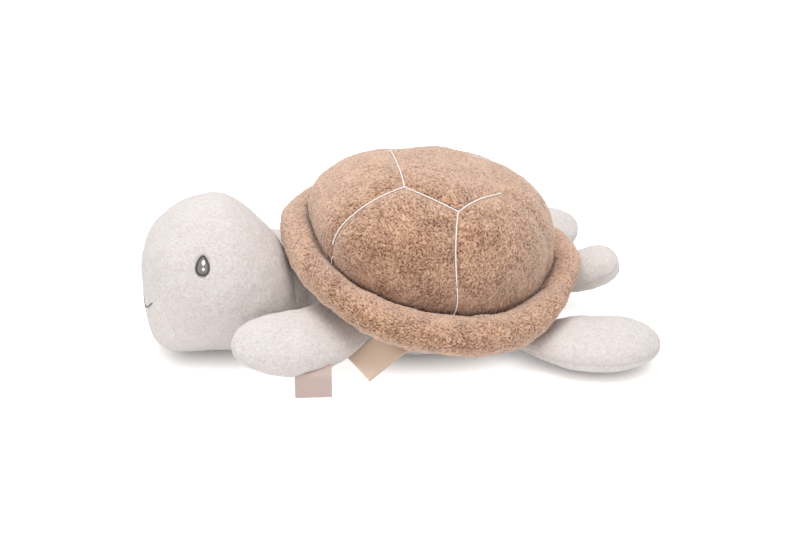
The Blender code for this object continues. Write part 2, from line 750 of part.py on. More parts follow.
def build_body(home, tools, finishes, limbs):
    above = add_cutter("above_seam", seam_tool("above_seam", BODY_SEAM, True), tools)
    below = add_cutter("below_seam", seam_tool("below_seam", BODY_SEAM, False), tools)
    pocket_radius = NECK_RADIUS + NECK_POCKET_CLEARANCE
    pocket = add_cutter("neck_pocket", ball("neck_pocket", Vector((NECK_X, 0, NECK_Z)), pocket_radius), tools)
    seats = [add_cutter(limb.name + "_seat", limb.seat(limb.name + "_seat"), tools) for limb in limbs]

    for name, outline in panel_outlines().items():
        panel = add_object(name, mesh_of(name, body_form()), home, finishes["fleece"])
        skin(panel)
        cut(panel, above, "INTERSECT")
        tool = add_cutter(name + "_cut", prism(name + "_cut", outline, 0, CROWN_HEIGHT + OVERRUN), tools)
        cut(panel, tool, "INTERSECT")

    belly = add_object("belly_panel", mesh_of("belly_panel", body_form()), home, finishes["terry"])
    skin(belly)
    cut(belly, below, "INTERSECT")
    stuffing = add_object("body_stuffing", mesh_of("body_stuffing", body_form(SKIN + FILL_GAP)), home,
                          finishes["fibre"])
    for piece in (belly, stuffing):
        cut(piece, pocket, "DIFFERENCE")
        for seat in seats:
            cut(piece, seat, "DIFFERENCE")

    dome = add_cutter("dome_guide", mesh_of("dome_guide", body_form()), tools)
    shell_lines(home, dome, finishes["thread"])
    return belly


def build_rim(home, tools, finishes):
    body = add_cutter("body_space", mesh_of("body_space", body_form(-GAP)), tools)
    half_seam = RIM_SEAM / 2 / RIM_REACH_SIDE
    under = mesh_of("under_rim_space", rim_wedge(RIM_SEAM_ANGLE - half_seam, -math.pi))
    over = mesh_of("over_rim_space", rim_wedge(RIM_SEAM_ANGLE + half_seam, -math.pi - 2 * half_seam))
    under_space = add_cutter("under_rim_space", under, tools)
    over_space = add_cutter("over_rim_space", over, tools)
    for name, tool, operation in (("rim_under_strip", under_space, "INTERSECT"),
                                  ("rim_top_strip", over_space, "DIFFERENCE")):
        strip = add_object(name, mesh_of(name, rim_form()), home, finishes["fleece"])
        skin(strip)
        cut(strip, body, "DIFFERENCE")
        cut(strip, tool, operation)
    stuffing = add_object("rim_stuffing", mesh_of("rim_stuffing", rim_form(SKIN + FILL_GAP)), home, finishes["fibre"])
    cut(stuffing, body, "DIFFERENCE")


def facing(tree, start, direction):
    """Where a line from outside meets a form, and the slope there."""
    hit = tree.ray_cast(start, direction)
    return hit[0], hit[1]


def build_head(home, tools, finishes):
    pivot = Vector((NECK_X, 0, NECK_Z))
    neck = bpy.data.objects.new("neck_turn", None)
    home.objects.link(neck)
    neck.location = pivot
    head = bpy.data.objects.new("head_nod", None)
    home.objects.link(head)
    head.parent = neck
    world_to_head = Matrix.Translation(-pivot)

    ball_radius = NECK_RADIUS - SKIN - NECK_BALL_CLEARANCE
    add_object("neck_stuffing", ball("neck_stuffing", Vector((0, 0, 0)), ball_radius), home,
               finishes["fibre"], neck)

    far = 2 * (NECK_X - HEAD_CENTRE_X) + 2 * HEAD_HALF_LENGTH + OVERRUN
    back = NECK_SLEEVE
    chin = CHIN_HEIGHT - NECK_Z
    spaces = {
        "head_left_panel": ((-far, -far, chin + SEAM / 2), (back, -SEAM / 2, far)),
        "head_right_panel": ((-far, SEAM / 2, chin + SEAM / 2), (back, far, far)),
        "chin_panel": ((-far, -far, -far), (back, far, chin - SEAM / 2)),
    }
    for name, (low, high) in spaces.items():
        bm = head_form()
        bmesh.ops.transform(bm, matrix=world_to_head, verts=bm.verts)
        panel = add_object(name, mesh_of(name, bm), home, finishes["terry"], head)
        skin(panel)
        cut(panel, add_cutter(name + "_cut", box(name + "_cut", low, high), tools, head), "INTERSECT")

    bm = head_form(SKIN + FILL_GAP)
    bmesh.ops.transform(bm, matrix=world_to_head, verts=bm.verts)
    stuffing = add_object("head_stuffing", mesh_of("head_stuffing", bm), home, finishes["fibre"], head)
    clear = ball_radius + NECK_BALL_CLEARANCE + GAP
    cut(stuffing, add_cutter("neck_ball_space", ball("neck_ball_space", Vector((0, 0, 0)), clear), tools, head),
        "DIFFERENCE")
    ahead = box("ahead_of_pivot", (-far, -far, -far), (-NECK_SLEEVE, far, far))
    cut(stuffing, add_cutter("ahead_of_pivot", ahead, tools, head), "INTERSECT")

    bm = head_form()
    bmesh.ops.transform(bm, matrix=world_to_head, verts=bm.verts)
    guide = add_cutter("head_guide", mesh_of("head_guide", bm), tools, head)
    bpy.context.view_layer.update()
    tree = surface_tree(guide)
    for side, word in ((-1, "left"), (1, "right")):
        start = Vector((EYE_X, side * HEAD_HALF_WIDTH * 2, EYE_Z)) - pivot
        place, slope = facing(tree, start, Vector((0, -side, 0)))
        bm = bmesh.new()
        bmesh.ops.create_cone(bm, cap_ends=True, segments=BALL_SIDES, depth=1, radius1=1, radius2=1)
        up = (Vector((0, 0, 1)) - slope * slope.z).normalized()
        across = up.cross(slope)
        size = Matrix((across * EYE_HALF_WIDTH, up * EYE_HALF_HEIGHT, slope * EYE_THICKNESS)).transposed()
        centre = place + slope * (EYE_THICKNESS / 2 + EYE_SEAT)
        bmesh.ops.transform(bm, matrix=Matrix.Translation(centre) @ size.to_4x4(), verts=bm.verts)
        add_object("eye_" + word, mesh_of("eye_" + word, bm), home, finishes["eye"], head)

    smile = []
    smile_shares = (-1.0, -0.88, -0.72, -0.5, -0.25, 0.0, 0.25, 0.5, 0.72, 0.88, 1.0)
    for share in smile_shares:
        height = MOUTH_Z + MOUTH_RISE * abs(share) ** 3
        start = Vector((HEAD_CENTRE_X - 2 * HEAD_HALF_LENGTH, MOUTH_HALF_WIDTH * share, height)) - pivot
        place, slope = facing(tree, start, Vector((1, 0, 0)))
        smile.append(place + slope * (MOUTH_RADIUS + LINE_LIFT))
    tube("mouth_stitch", smile, MOUTH_RADIUS, home, finishes["eye"], head)


def main():
    clear_scene()
    home = collection("plush_turtle")
    tools = collection("cutters")
    finishes = {
        "fleece": material("shell_fleece", (0.56, 0.34, 0.23), 0.95),
        "terry": material("cream_terry", (0.82, 0.78, 0.74), 0.95),
        "fibre": material("fibre_stuffing", (0.9, 0.9, 0.88), 1.0),
        "thread": material("white_thread", (0.88, 0.85, 0.8), 0.6),
        "eye": material("grey_thread", (0.12, 0.11, 0.11), 0.6),
        "mauve": material("mauve_ribbon", (0.42, 0.31, 0.28), 0.7),
        "gold": material("gold_ribbon", (0.62, 0.46, 0.24), 0.4),
    }
    limbs = []
    for side, word in ((-1, "left"), (1, "right")):
        limbs.append(Limb("front_flipper_" + word, FRONT_LENGTH, FRONT_HALF_WIDTH, FRONT_HALF_THICKNESS,
                          FRONT_ROOT_HALF_WIDTH, side * FRONT_SEAT_ANGLE, FRONT_SEAT_HEIGHTS[side],
                          side * FRONT_HEADING, side * FRONT_BEND, FRONT_PITCHES[side], FRONT_ROLLS[side],
                          FRONT_SWELL_SHARE, FRONT_TIP_SHARE))
        limbs.append(Limb("rear_flipper_" + word, REAR_LENGTH, REAR_HALF_WIDTH, REAR_HALF_THICKNESS,
                          REAR_ROOT_HALF_WIDTH, side * REAR_SEAT_ANGLE, REAR_SEAT_HEIGHT,
                          side * REAR_HEADINGS[side], side * REAR_BENDS[side], REAR_PITCH, side * REAR_ROLL,
                          REAR_SWELL_SHARE, REAR_TIP_SHARE))
    limbs.append(Limb("tail", TAIL_LENGTH, TAIL_HALF_WIDTH, TAIL_HALF_THICKNESS, TAIL_ROOT_HALF_WIDTH,
                      0.0, TAIL_SEAT_HEIGHT, 0.0, 0.0, TAIL_PITCH, 0.0, TAIL_SWELL_SHARE, TAIL_TIP_SHARE))
    build_body(home, tools, finishes, limbs)
    build_rim(home, tools, finishes)
    build_head(home, tools, finishes)
    roots = [limb.build(home, tools, finishes) for limb in limbs]
    build_labels(home, tools, finishes, limbs[0], roots[0])


if __name__ == "__main__":
    main()
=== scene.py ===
"""Dresses the plush turtle: looped fleece on the shell and rim, terry on the head, limbs and belly,
thread on the shell, an embroidered face and two ribbon labels. Metres, +Z up, the head towards -X.
"""

import itertools
import math

import bpy
import numpy as np
from mathutils import Matrix, Vector
from mathutils.bvhtree import BVHTree


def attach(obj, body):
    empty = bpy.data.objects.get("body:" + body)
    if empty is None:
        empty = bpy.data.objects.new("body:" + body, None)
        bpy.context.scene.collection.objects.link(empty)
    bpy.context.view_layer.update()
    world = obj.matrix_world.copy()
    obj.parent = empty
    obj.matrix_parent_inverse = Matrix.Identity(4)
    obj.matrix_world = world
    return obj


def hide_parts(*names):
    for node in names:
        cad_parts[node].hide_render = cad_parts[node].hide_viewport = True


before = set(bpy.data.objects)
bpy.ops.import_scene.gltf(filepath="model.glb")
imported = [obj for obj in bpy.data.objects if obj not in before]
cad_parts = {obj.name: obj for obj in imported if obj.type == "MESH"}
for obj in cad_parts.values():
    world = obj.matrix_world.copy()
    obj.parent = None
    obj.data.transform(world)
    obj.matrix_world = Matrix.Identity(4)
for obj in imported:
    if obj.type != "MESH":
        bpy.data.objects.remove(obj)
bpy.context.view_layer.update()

bl_info = {
    "name": "Plush turtle",
    "version": (1, 0, 0),
    "blender": (4, 5, 0),
    "location": "View3D > Sidebar > Turtle",
    "description": "Covers, stitching, face and labels of a plush turtle, and the table it lies on",
    "category": "Add Mesh",
}

MM = 0.001

# Shell dome and belly, at the seam that holds the rim
HALF_LENGTH, HALF_WIDTH = 85 * MM, 74 * MM
CROWN_HEIGHT, CROWN_FALL = 125 * MM, 6 * MM
FRONT_CORNER, REAR_CORNER = 0.71, 1.0
DOME_BULGE, DOME_FRONT, DOME_REAR = 11 * MM, 0.85, 0.6
BELLY_TUCK, BELLY_FLAT = 0.5, 0.96
SEAM_FRONT, SEAM_MIDDLE, SEAM_REAR = 71 * MM, 37 * MM, 36 * MM
SEAM_ARCH, SEAM_ARCH_WIDTH = 4 * MM, 42 * MM
DOME_MIDDLE = (0, 0, SEAM_MIDDLE)
FLOOR_GAP = 0.4 * MM

# Rim: reach and thickness at its side, front and rear, its tilt and seam, its lift and its pinch
RIM_REACH, RIM_THICKNESS = (15 * MM, 13 * MM, 14 * MM), (13 * MM, 12 * MM, 9 * MM)
RIM_REAR_TILT, RIM_SEAM_ANGLE, RIM_SINK = math.radians(28), math.radians(-42), 5 * MM
RIM_LIFT, RIM_LIFT_ANGLE = 8 * MM, math.radians(128)
RIM_DENT, RIM_DENT_ANGLE, RIM_SPREAD = 0.3, math.radians(-33), math.radians(16)

# Room under the rim's front and rear, where the neck, rear flippers and tail move
RIM_ROOM, ROOM_ENDS, ROOM_UNDER = 1.6 * MM, (0.45, 0.65), (-0.2, 0.8)

# Shell lines, as shares of the half length and half width, and how far each bows aside
LINE_CORNERS = ((-0.3, -0.39), (0.085, -0.66), (0.49, -0.38), (0.49, 0.38), (0.085, 0.66), (-0.3, 0.39))
LINE_BOWS = (0, 9 * MM, 0, 0, -9 * MM, 0)
LINE_ENDS = ((-0.95, -0.57), (-0.13, -1.05), (0.9, -0.5), (0.9, 0.5), (-0.13, 1.05), (-0.95, 0.57))
LINE_STEP, LINE_TWIST = 0.5 * MM, 3.2 * MM
LINE_FOOT, LINE_SINK = 6 * MM, 2.6 * MM
LINE_GROOVE_WIDTH, LINE_BARE = 5.5 * MM, (0.4 * MM, 1.2 * MM)
LINE_SIDES, LINE_SQUASH, LINE_STAND = 8, 0.8, 0.9
LINE_STRANDS, LINE_UNEVEN, LINE_WEAVE = 0.13, 0.06, 0.12 * MM
LINE_HIDDEN, LINE_HIDDEN_WIDTH = (0.4, 0.8), 17 * MM
BURIED_LINES = ("top_line_3", "side_line_3")

# Casts that find a side line: their number, first angle and turn in degrees, and how fast the bow ends
LINE_CASTS, LINE_CAST_FROM, LINE_CAST_TURN, LINE_BOW_SPEED = 400, 88.8, 108.8, 1.2

# Head and neck
NECK_X, NECK_Z, NECK_RADIUS, NECK_REACH = -96 * MM, 32 * MM, 25.7 * MM, 74 * MM
HEAD_X, HEAD_Z = -151.5 * MM, 57 * MM
HEAD_LENGTH, HEAD_WIDTH, HEAD_HEIGHT, HEAD_TAPER = 50.5 * MM, 52 * MM, 53 * MM, 62 * MM
HEAD_FULLNESS, HEAD_REAR, JOWL_FULLNESS, JOWL_FRONT = 2.32, 2.75, 2.25, 4.2
HEAD_BOW, CHIN_HEIGHT, NECK_LEVEL = 2 * MM, 12 * MM, 0.07
NECK_FILLING_RADIUS = 22.0 * MM

# Face. An eye's lights are given in mm: across, up, half width, half height and number of stitches
EYE_X, EYE_Z, EYE_TALL, EYE_WIDE, EYE_TAPER = -163 * MM, 85.3 * MM, 6.95 * MM, 4.45 * MM, 0.34
EYE_RINGS, EYE_RING_STITCHES, EYE_WOBBLE, EYE_OVERLAP = (0.97, 0.86), 46, 0.045, 0.24
EYE_WAVES, EYE_RING_TURN = 9, 0.05
EYE_FILLING, EYE_ROWS, EYE_ROW_ENDS = 0.84, 26, (-0.78, 0.8)
EYE_COLUMN, EYE_COLUMN_LAP, EYE_STAGGER, EYE_SLANT = 0.62, 0.14, 0.25 * MM, 0.3 * MM
EYE_LIGHTS = ((0.6, 1.9, 1.1, 2.1, 8), (0.7, -2.4, 0.9, 1.15, 6))
MOUTH_WIDE, MOUTH_Z, MOUTH_RISE = 28 * MM, 40.3 * MM, 11.5 * MM
MOUTH_STEP, MOUTH_STITCH, MOUTH_SINK, MOUTH_ARCH = 0.5 * MM, 3 * MM, 0.15 * MM, 0.35 * MM
STITCH_SHAPE, STITCH_SIDES, STITCH_SQUASH = (0.55, 0.95, 1.0, 0.95, 0.55), 6, 0.7

# Limbs: round roots, sunk into the body, and the share of a flipper that bends
ROOT_RADIUS, SEAT_DEPTH, BEND_SHARE = 6 * MM, 3.5 * MM, 0.6

# Labels: width, length that stands out, and dip where it leaves the seam and beyond its bend
MAUVE_LABEL = (24 * MM, 17 * MM, (math.radians(10), math.radians(80)))
GOLD_LABEL = (23 * MM, 32 * MM, (math.radians(8), math.radians(26)))
MAUVE_SPOT, MAUVE_TURN = 41.5 * MM, math.radians(-25)
GOLD_ANGLE, GOLD_HEIGHT = math.radians(-111), 27 * MM
GOLD_TURN, GOLD_ROLL = math.radians(-150), math.radians(-18)
LABEL_ROOT, LABEL_BEND_SHARE, LABEL_WALL = 6 * MM, 0.35, 0.35 * MM
LABEL_GAP, LABEL_OPENING, LABEL_WAVE = 0.25 * MM, 0.55 * MM, 0.5 * MM
LABEL_STEPS, LABEL_COLUMNS, LABEL_FOLD_STEPS = 60, 44, 9

# Reach of each cover's mesh, and its step as a share of the mesh step
DOME_SPAN, DOME_STEP = 190 * MM, 0.85
RIM_ROUND, RIM_GIRTH, RIM_STEP = 545 * MM, 86 * MM, 0.9
BELLY_SPAN, BELLY_STEP = 150 * MM, 1.3
HEAD_SPAN = 84 * MM

# Rings that close the dome and the belly inside, as shares of their edge, and how far each one drops
DOME_INSIDE, DOME_DROP = (0.97, 0.85), -2 * MM
BELLY_INSIDE, BELLY_DROP = (0.96, 0.8), 0.5 * MM

# Coarse meshes of the smooth forms that lines and stitches are laid on, and of the neck's filling
COARSE_DOME, COARSE_HEAD, COARSE_FILLING = 90, 48, 24

# Depth and width of what draws the covers in, how much of the pile it takes away, and painted shade
DOME_CREASE_DEPTH, DOME_CREASE_WIDTH = 1.2 * MM, 3 * MM
RIM_CREASE_DEPTH, RIM_CREASE_WIDTH = 0.8 * MM, 2.5 * MM
RIM_SEAM_DEPTH, RIM_SEAM_WIDTH = 1.5 * MM, 0.1
PUCKERS, PUCKER_DEPTH, PUCKER_REACH = 60, 0.7 * MM, 0.8
CHIN_SEAM_DEPTH, CHIN_SEAM_WIDTH = 1.3 * MM, 1.3 * MM
FACE_SEAM_DEPTH, FACE_SEAM_WIDTH = 0.5 * MM, 1.1 * MM
EYE_DEPTH, EYE_RIM, EYE_REACH = 0.9 * MM, 1.3, 20 * MM
MOUTH_DEPTH, MOUTH_WIDTH = 0.5 * MM, 1.0 * MM
SEAM_START, FILLING_DEPTH = 12 * MM, 0.6 * MM
LIMB_SEAM_DEPTH, LIMB_SEAM_WIDTH = 1.1 * MM, 1.2 * MM
ROOT_FOLDS, FOLD_DEPTH, FOLD_REACH = 11, 0.5 * MM, 9 * MM
# The last of these and the next line are painted shade: darker pile colour in the dome-rim crease and in a
# band up the dome's foot
SEAM_HIDES, FACE_SEAM_HIDES, EYE_HIDES, MOUTH_HIDES, CREASE_SHADE = 0.6, 0.4, 0.9, 0.6, 0.8
FOOT_SHADE, FOOT_SHADE_REACH = 0.7, 12 * MM

# Curls of the pile, as shares of a curl's width, and the height that a smooth form stands for
CURL_BEND_SIZE, CURL_BEND, CURL_THINNESS = 1.3, 0.45, 2.7
UNDER_SIZE, UNDER_HEIGHT, KNOT_SIZE, KNOT_HEIGHT = 0.85, 0.85, 0.55, 0.22
CURL_SHARPNESS, CURL_HEIGHT, CURL_FLOOR, PILE_MIDDLE = 1.2, 0.85, 0.12, 0.55

# Lumps of the stuffing: widths of the broad and the small ones, and how high the small ones are
LUMP_WIDTH, SMALL_LUMP_WIDTH, SMALL_LUMP_SHARE = 24 * MM, 9 * MM, 0.35

# Cloths: name, painted sheen that makes them paler seen aslant, mottle, depth of the fibres' bump, and sheen
CLOTHS = {"fleece": ("shell fleece", 0.9, 0.8, 0.5 * MM, 1.0),
          "terry": ("cream terry", 0.2, 0.4, 0.2 * MM, 0.3)}
# The last of these sets how pale the painted sheen's colour and the shader's sheen tint are
FIBRE_SIZE, BROAD_MOTTLE, SHEEN_PALENESS = 0.8 * MM, 70.0, 0.4

# Threads and ribbons: darker and lighter tone, scale of the fibres' noise, and depth of the bump
THREAD_TONES, THREAD_NOISE, THREAD_BUMP = (0.85, 1.12), 2500.0, 0.12 * MM
RIBBON_TONES, RIBBON_NOISE, RIBBON_BUMP = (0.88, 1.12), 900.0, 0.1 * MM
CROSS_RIB, CROSS_WEIGHT, RIB_WANDER = 1.6, 0.35, 0.6

# Stage: each lamp's size, watts, place and aim, the white floor and the camera's aim
LAMPS = {"top softbox": (1.1, 11.8, (0.0, 0.05, 1.5), (-0.02, 0, 0)),
         "side softbox": (1.2, 5.6, (-1.0, -1.3, 0.3), (-0.05, 0, 0.04))}
# CONTACT_REACH: how far from the turtle the floor's glow is dimmed as painted contact shadow
ROOM_LIGHT, FLOOR_GLOW, FLOOR_HALF, CONTACT_REACH = 0.74, 0.72, 4.0, 17 * MM
CAMERA_AIM = (-23 * MM, 0, 37 * MM)

# Numbers that scatter the noise and set its height, and the most distances worked out at once
HASH_STEPS, HASH_FOLD, HASH_WORD = (374761393, 668265263, 2147483647), 1274126177, 0xFFFFFFFF
UP_SEED, LUMP_SEED, RIPPLE_HEIGHT = 91, 31, 1.7
MOST_PAIRS = 20_000_000


def picked(red, green, blue):
    """A colour as a picker shows it, from 0 to 255, turned into the light that it stands for."""
    parts = (np.array((red, green, blue)) / 255 + 0.055) / 1.055
    return tuple(float(part) for part in parts ** 2.4)


def tone(colour, factor=1.0):
    """A colour made darker or lighter by a factor, with full cover."""
    return (*(min(1.0, part * factor) for part in colour), 1)


def smooth(low, high, value):
    """Smooth step: 0 below low, 1 above high, 3t squared less 2t cubed between."""
    t = np.clip((value - low) / (high - low), 0, 1)
    return t * t * (3 - 2 * t)


def bell(distance, width):
    """1 at no distance, falling as e to the minus square of the distance over the width."""
    return np.exp(-((distance / width) ** 2))


def arc(value, fullness=2.0):
    """Height of a rounded quarter at a distance from its middle: a circle at fullness 2, squarer above."""
    return np.maximum(0, 1 - np.abs(value) ** fullness) ** (1 / fullness)


def signed_power(value, power):
    """The size of a value raised to a power, with the value's sign."""
    return np.sign(value) * np.abs(value) ** power


def unit(vectors):
    """Vectors divided by their lengths."""
    return vectors / np.maximum(np.linalg.norm(vectors, axis=-1, keepdims=True), 1e-12)


def travelled(path):
    """Distance along a path to each of its points: the sum of the steps before it."""
    return np.concatenate([[0], np.cumsum(np.linalg.norm(np.diff(path, axis=0), axis=1))])


def even_path(path, step):
    """Points evenly spaced along a path."""
    along = travelled(path)
    spots = np.linspace(0, along[-1], max(2, int(along[-1] / step)))
    return np.stack([np.interp(spots, along, path[:, axis]) for axis in range(3)], axis=-1)


def distance_to(points, path):
    """Distance of each point from the nearest point of a path, in slices to save memory."""
    slices = np.array_split(points, max(1, len(points) * len(path) // MOST_PAIRS))
    return np.concatenate([
        np.sqrt(((part[:, None] - path[None]) ** 2).sum(axis=-1).min(axis=1)) for part in slices])


# Noise for the pile


def lattice_number(x, y, z, seed):
    """A fixed number from 0 to 1 for each whole-number place, by multiplying and folding its bits."""
    along_x, along_y, along_z = HASH_STEPS
    bits = (x * along_x + y * along_y + z * along_z + seed * HASH_FOLD) & HASH_WORD
    bits = ((bits ^ (bits >> 13)) * HASH_FOLD) & HASH_WORD
    return ((bits ^ (bits >> 16)) & 0xFFFFFF) / 0xFFFFFF


def ripple(points, size, seed):
    """Smooth waves from about -1 to 1: each place of a cubic lattice of that size has a slope in a
    fixed direction, and a point mixes the slopes of the eight places round it."""
    spot = points.T / size
    whole = np.floor(spot).astype(np.int64)
    part = spot - whole
    ease = part ** 3 * (part * (part * 6 - 15) + 10)
    total = np.zeros(len(points))
    for corner in itertools.product((0, 1), repeat=3):
        corner = np.array(corner)[:, None]
        turn = lattice_number(*(whole + corner), seed) * 2 * np.pi
        up = lattice_number(*(whole + corner), seed + UP_SEED) * 2 - 1
        flat = np.sqrt(1 - up * up)
        slope = np.stack([flat * np.cos(turn), flat * np.sin(turn), up])
        total += ((part - corner) * slope).sum(axis=0) * np.where(corner, ease, 1 - ease).prod(axis=0)
    return total * RIPPLE_HEIGHT


def curls(points, size, seed):
    """Short curly threads from 0 to 1: a thread runs wherever waves that are themselves bent by
    smaller waves cross zero, two sets of such threads lie over each other, and knots break them up."""
    bend = np.stack([ripple(points, size * CURL_BEND_SIZE, seed + k) for k in range(3)], axis=-1)
    bent = points + bend * size * CURL_BEND
    over, under = (np.clip(1 - np.abs(ripple(place, width, seed + k)) * CURL_THINNESS, 0, 1)
                   for place, width, k in ((bent, size, 11), (bent + size * 7, size * UNDER_SIZE, 12)))
    knots = ripple(points, size * KNOT_SIZE, seed + 13) * KNOT_HEIGHT
    threads = np.maximum(over, under * UNDER_HEIGHT) ** CURL_SHARPNESS * CURL_HEIGHT
    return np.clip(threads + CURL_FLOOR + knots, 0, 1)


# Meshes


def grid_faces(rows, columns, wrap_rows=False, wrap_columns=False):
    """Four-sided faces of a grid whose points are numbered row by row."""
    last_row, last_column = rows if wrap_rows else rows - 1, columns if wrap_columns else columns - 1
    r, c = np.meshgrid(np.arange(last_row), np.arange(last_column), indexing="ij")
    r2, c2 = (r + 1) % rows, (c + 1) % columns
    corners = (r * columns + c, r * columns + c2, r2 * columns + c2, r2 * columns + c)
    return np.stack(corners, axis=-1).reshape(-1, 4)


def fan_faces(ring, middle):
    """Triangles from each side of a closed ring of points to one middle point."""
    return np.stack([ring, np.roll(ring, -1), np.full(len(ring), middle)], axis=1)


def facing_out(points, groups):
    """Turn all the faces round if the volume that they enclose comes out negative."""
    volume = 0.0
    for faces in groups:
        a = points[faces[:, 0]]
        for k in range(1, faces.shape[1] - 1):
            volume += (a * np.cross(points[faces[:, k]], points[faces[:, k + 1]])).sum()
    return [faces[:, ::-1] for faces in groups] if volume < 0 else groups


def point_normals(points, groups):
    """Normal at each point: the sum of the normals of its faces, weighted by their area."""
    total = np.zeros_like(points)
    for faces in groups:
        across = points[faces[:, 2]] - points[faces[:, 0]]
        along = points[faces[:, -1]] - points[faces[:, 1]]
        normals = np.cross(across, along)
        for k, axis in itertools.product(range(faces.shape[1]), range(3)):
            total[:, axis] += np.bincount(faces[:, k], normals[:, axis], len(points))
    return unit(total)


def mesh_object(name, points, groups, finish, values=None, uv=None):
    """A smooth mesh from arrays of points and faces, with one number per point in each named value."""
    data = bpy.data.meshes.new(name)
    sizes = np.concatenate([np.full(len(faces), faces.shape[1]) for faces in groups])
    corners = np.concatenate([faces.ravel() for faces in groups])
    data.vertices.add(len(points))
    data.loops.add(len(corners))
    data.polygons.add(len(sizes))
    data.vertices.foreach_set("co", points.astype(np.float32).ravel())
    data.loops.foreach_set("vertex_index", corners.astype(np.int32))
    data.polygons.foreach_set("loop_start", (np.cumsum(sizes) - sizes).astype(np.int32))
    data.update(calc_edges=True)
    data.polygons.foreach_set("use_smooth", np.ones(len(sizes), bool))
    for word, numbers in (values or {}).items():
        data.attributes.new(word, "FLOAT", "POINT").data.foreach_set("value", numbers.astype(np.float32))
    if uv is not None:
        data.uv_layers.new(name="cloth").data.foreach_set("uv", uv[corners].astype(np.float32).ravel())
    data.materials.append(finish)
    made = bpy.data.objects.new(name, data)
    bpy.context.scene.collection.objects.link(made)
    return made


def ball_mesh(n):
    """Directions spread evenly over a ball: six square grids of equal angles, joined at their edges."""
    steps = np.tan(np.linspace(-math.pi / 4, math.pi / 4, n + 1))
    a, b = (grid.ravel() for grid in np.meshgrid(steps, steps, indexing="ij"))
    one = np.ones_like(a)
    sides = [np.stack(side, axis=-1) for side in (
        (one, a, b), (-one, b, a), (a, -one, b), (b, one, a), (a, b, one), (b, a, -one))]
    points = unit(np.concatenate(sides))
    _, first, number = np.unique(np.round(points * 1e6).astype(np.int64), axis=0, return_index=True,
                                 return_inverse=True)
    faces = np.concatenate([grid_faces(n + 1, n + 1) + k * (n + 1) ** 2 for k in range(6)])
    return points[first], number.ravel()[faces]


def disc_grid(n):
    """Radius and share of a turn for a square grid pressed into a disc: the square's rings become
    circles. Also its faces and the numbers of the points on its edge, in order."""
    steps = np.linspace(-1, 1, n + 1)
    a, b = (grid.ravel() for grid in np.meshgrid(steps, steps, indexing="ij"))
    wide = np.abs(a) > np.abs(b)
    radius = np.where(wide, a, b)
    with np.errstate(divide="ignore", invalid="ignore"):
        turn = np.nan_to_num(np.where(wide, math.pi / 4 * b / a, math.pi / 2 - math.pi / 4 * a / b))
    x, y = radius * np.cos(turn), radius * np.sin(turn)
    number = np.arange((n + 1) ** 2).reshape(n + 1, n + 1)
    edge = np.concatenate([number[:-1, 0], number[-1, :-1], number[:0:-1, -1], number[0, :0:-1]])
    return np.abs(radius), np.arctan2(y, x) / (2 * math.pi) + 0.5, grid_faces(n + 1, n + 1), edge


def close_below(points, faces, edge, inner_shares, drop):
    """Close a cap with rings that run inwards from its edge to one middle point."""
    middle = points[edge].mean(axis=0)
    rings, groups, outer, count = [points], [faces], edge, len(points)
    for k, share in enumerate(inner_shares):
        ring = middle + (points[edge] - middle) * share
        ring[:, 2] += (points[edge][:, 2] - middle[2]) * (1 - share) + drop * (k + 1)
        inner = np.arange(count, count + len(edge))
        groups[0] = np.concatenate([groups[0], np.stack(
            [outer, np.roll(outer, -1), np.roll(inner, -1), inner], axis=1)])
        rings.append(ring)
        outer, count = inner, count + len(edge)
    rings.append(middle[None] + np.array([[0, 0, drop * len(inner_shares)]]))
    groups.append(fan_faces(outer, count))
    return np.concatenate(rings), groups


def tubes(name, centres, ups, radii, sides, finish, squash=1.0):
    """Rounded threads along many paths at once: a ring of points stands across each path at every
    step, in the plane of its up vector and the vector across it."""
    along = unit(np.gradient(centres, axis=1))
    across = unit(np.cross(ups, along))
    up = np.cross(along, across)
    turn = np.linspace(0, 2 * math.pi, sides, endpoint=False)
    spokes = (across[:, :, None] * np.cos(turn)[:, None]
              + up[:, :, None] * np.sin(turn)[:, None] * squash)
    points = (centres[:, :, None] + spokes * radii[:, :, None, None]).reshape(-1, 3)
    count, rows = centres.shape[:2]
    offsets = (np.arange(count) * rows * sides)[:, None, None]
    walls = (grid_faces(rows, sides, wrap_columns=True)[None] + offsets).reshape(-1, 4)
    near = np.arange(sides)[None] + offsets[:, :, 0]
    far = near + (rows - 1) * sides
    groups = [walls, np.concatenate([near[:, ::-1], far])]
    return mesh_object(name, points, facing_out(points, groups), finish)


def form_tree(points, faces):
    """A search tree over a form's faces, for casting rays at it."""
    return BVHTree.FromPolygons([tuple(point) for point in points.tolist()], faces.tolist())


def outward_slopes(tree, path, middle):
    """Normals of the faces nearest to a path's points, turned away from the form's middle."""
    slopes = np.array([tree.find_nearest(point)[1] for point in path])
    return slopes * np.sign(((path - middle) * slopes).sum(axis=1, keepdims=True))


# Forms of the turtle


def seam_height(x, y):
    """Height of the body seam: a parabola from front to rear, and a small arch over the neck."""
    t = x / HALF_LENGTH
    slope, bend = (SEAM_REAR - SEAM_FRONT) / 2, (SEAM_REAR + SEAM_FRONT) / 2 - SEAM_MIDDLE
    arch = SEAM_ARCH * bell(y, SEAM_ARCH_WIDTH) * smooth(0.4, 1.0, -t)
    return SEAM_MIDDLE + slope * t + bend * t * t + arch


def plan_point(angle):
    """The body seam from above: cosine and sine, each raised to a power that squares the front."""
    c, s = np.cos(angle), np.sin(angle)
    power = FRONT_CORNER + (REAR_CORNER - FRONT_CORNER) * smooth(-0.5, 0.5, c)
    return signed_power(c, power) * HALF_LENGTH, signed_power(s, power) * HALF_WIDTH


def even_angle(share):
    """The angle at a share of the way round the seam, measured along it."""
    angles = np.linspace(-math.pi, math.pi, 20001)
    along = travelled(np.stack(plan_point(angles), axis=-1))
    return np.interp(share, along / along[-1], angles)


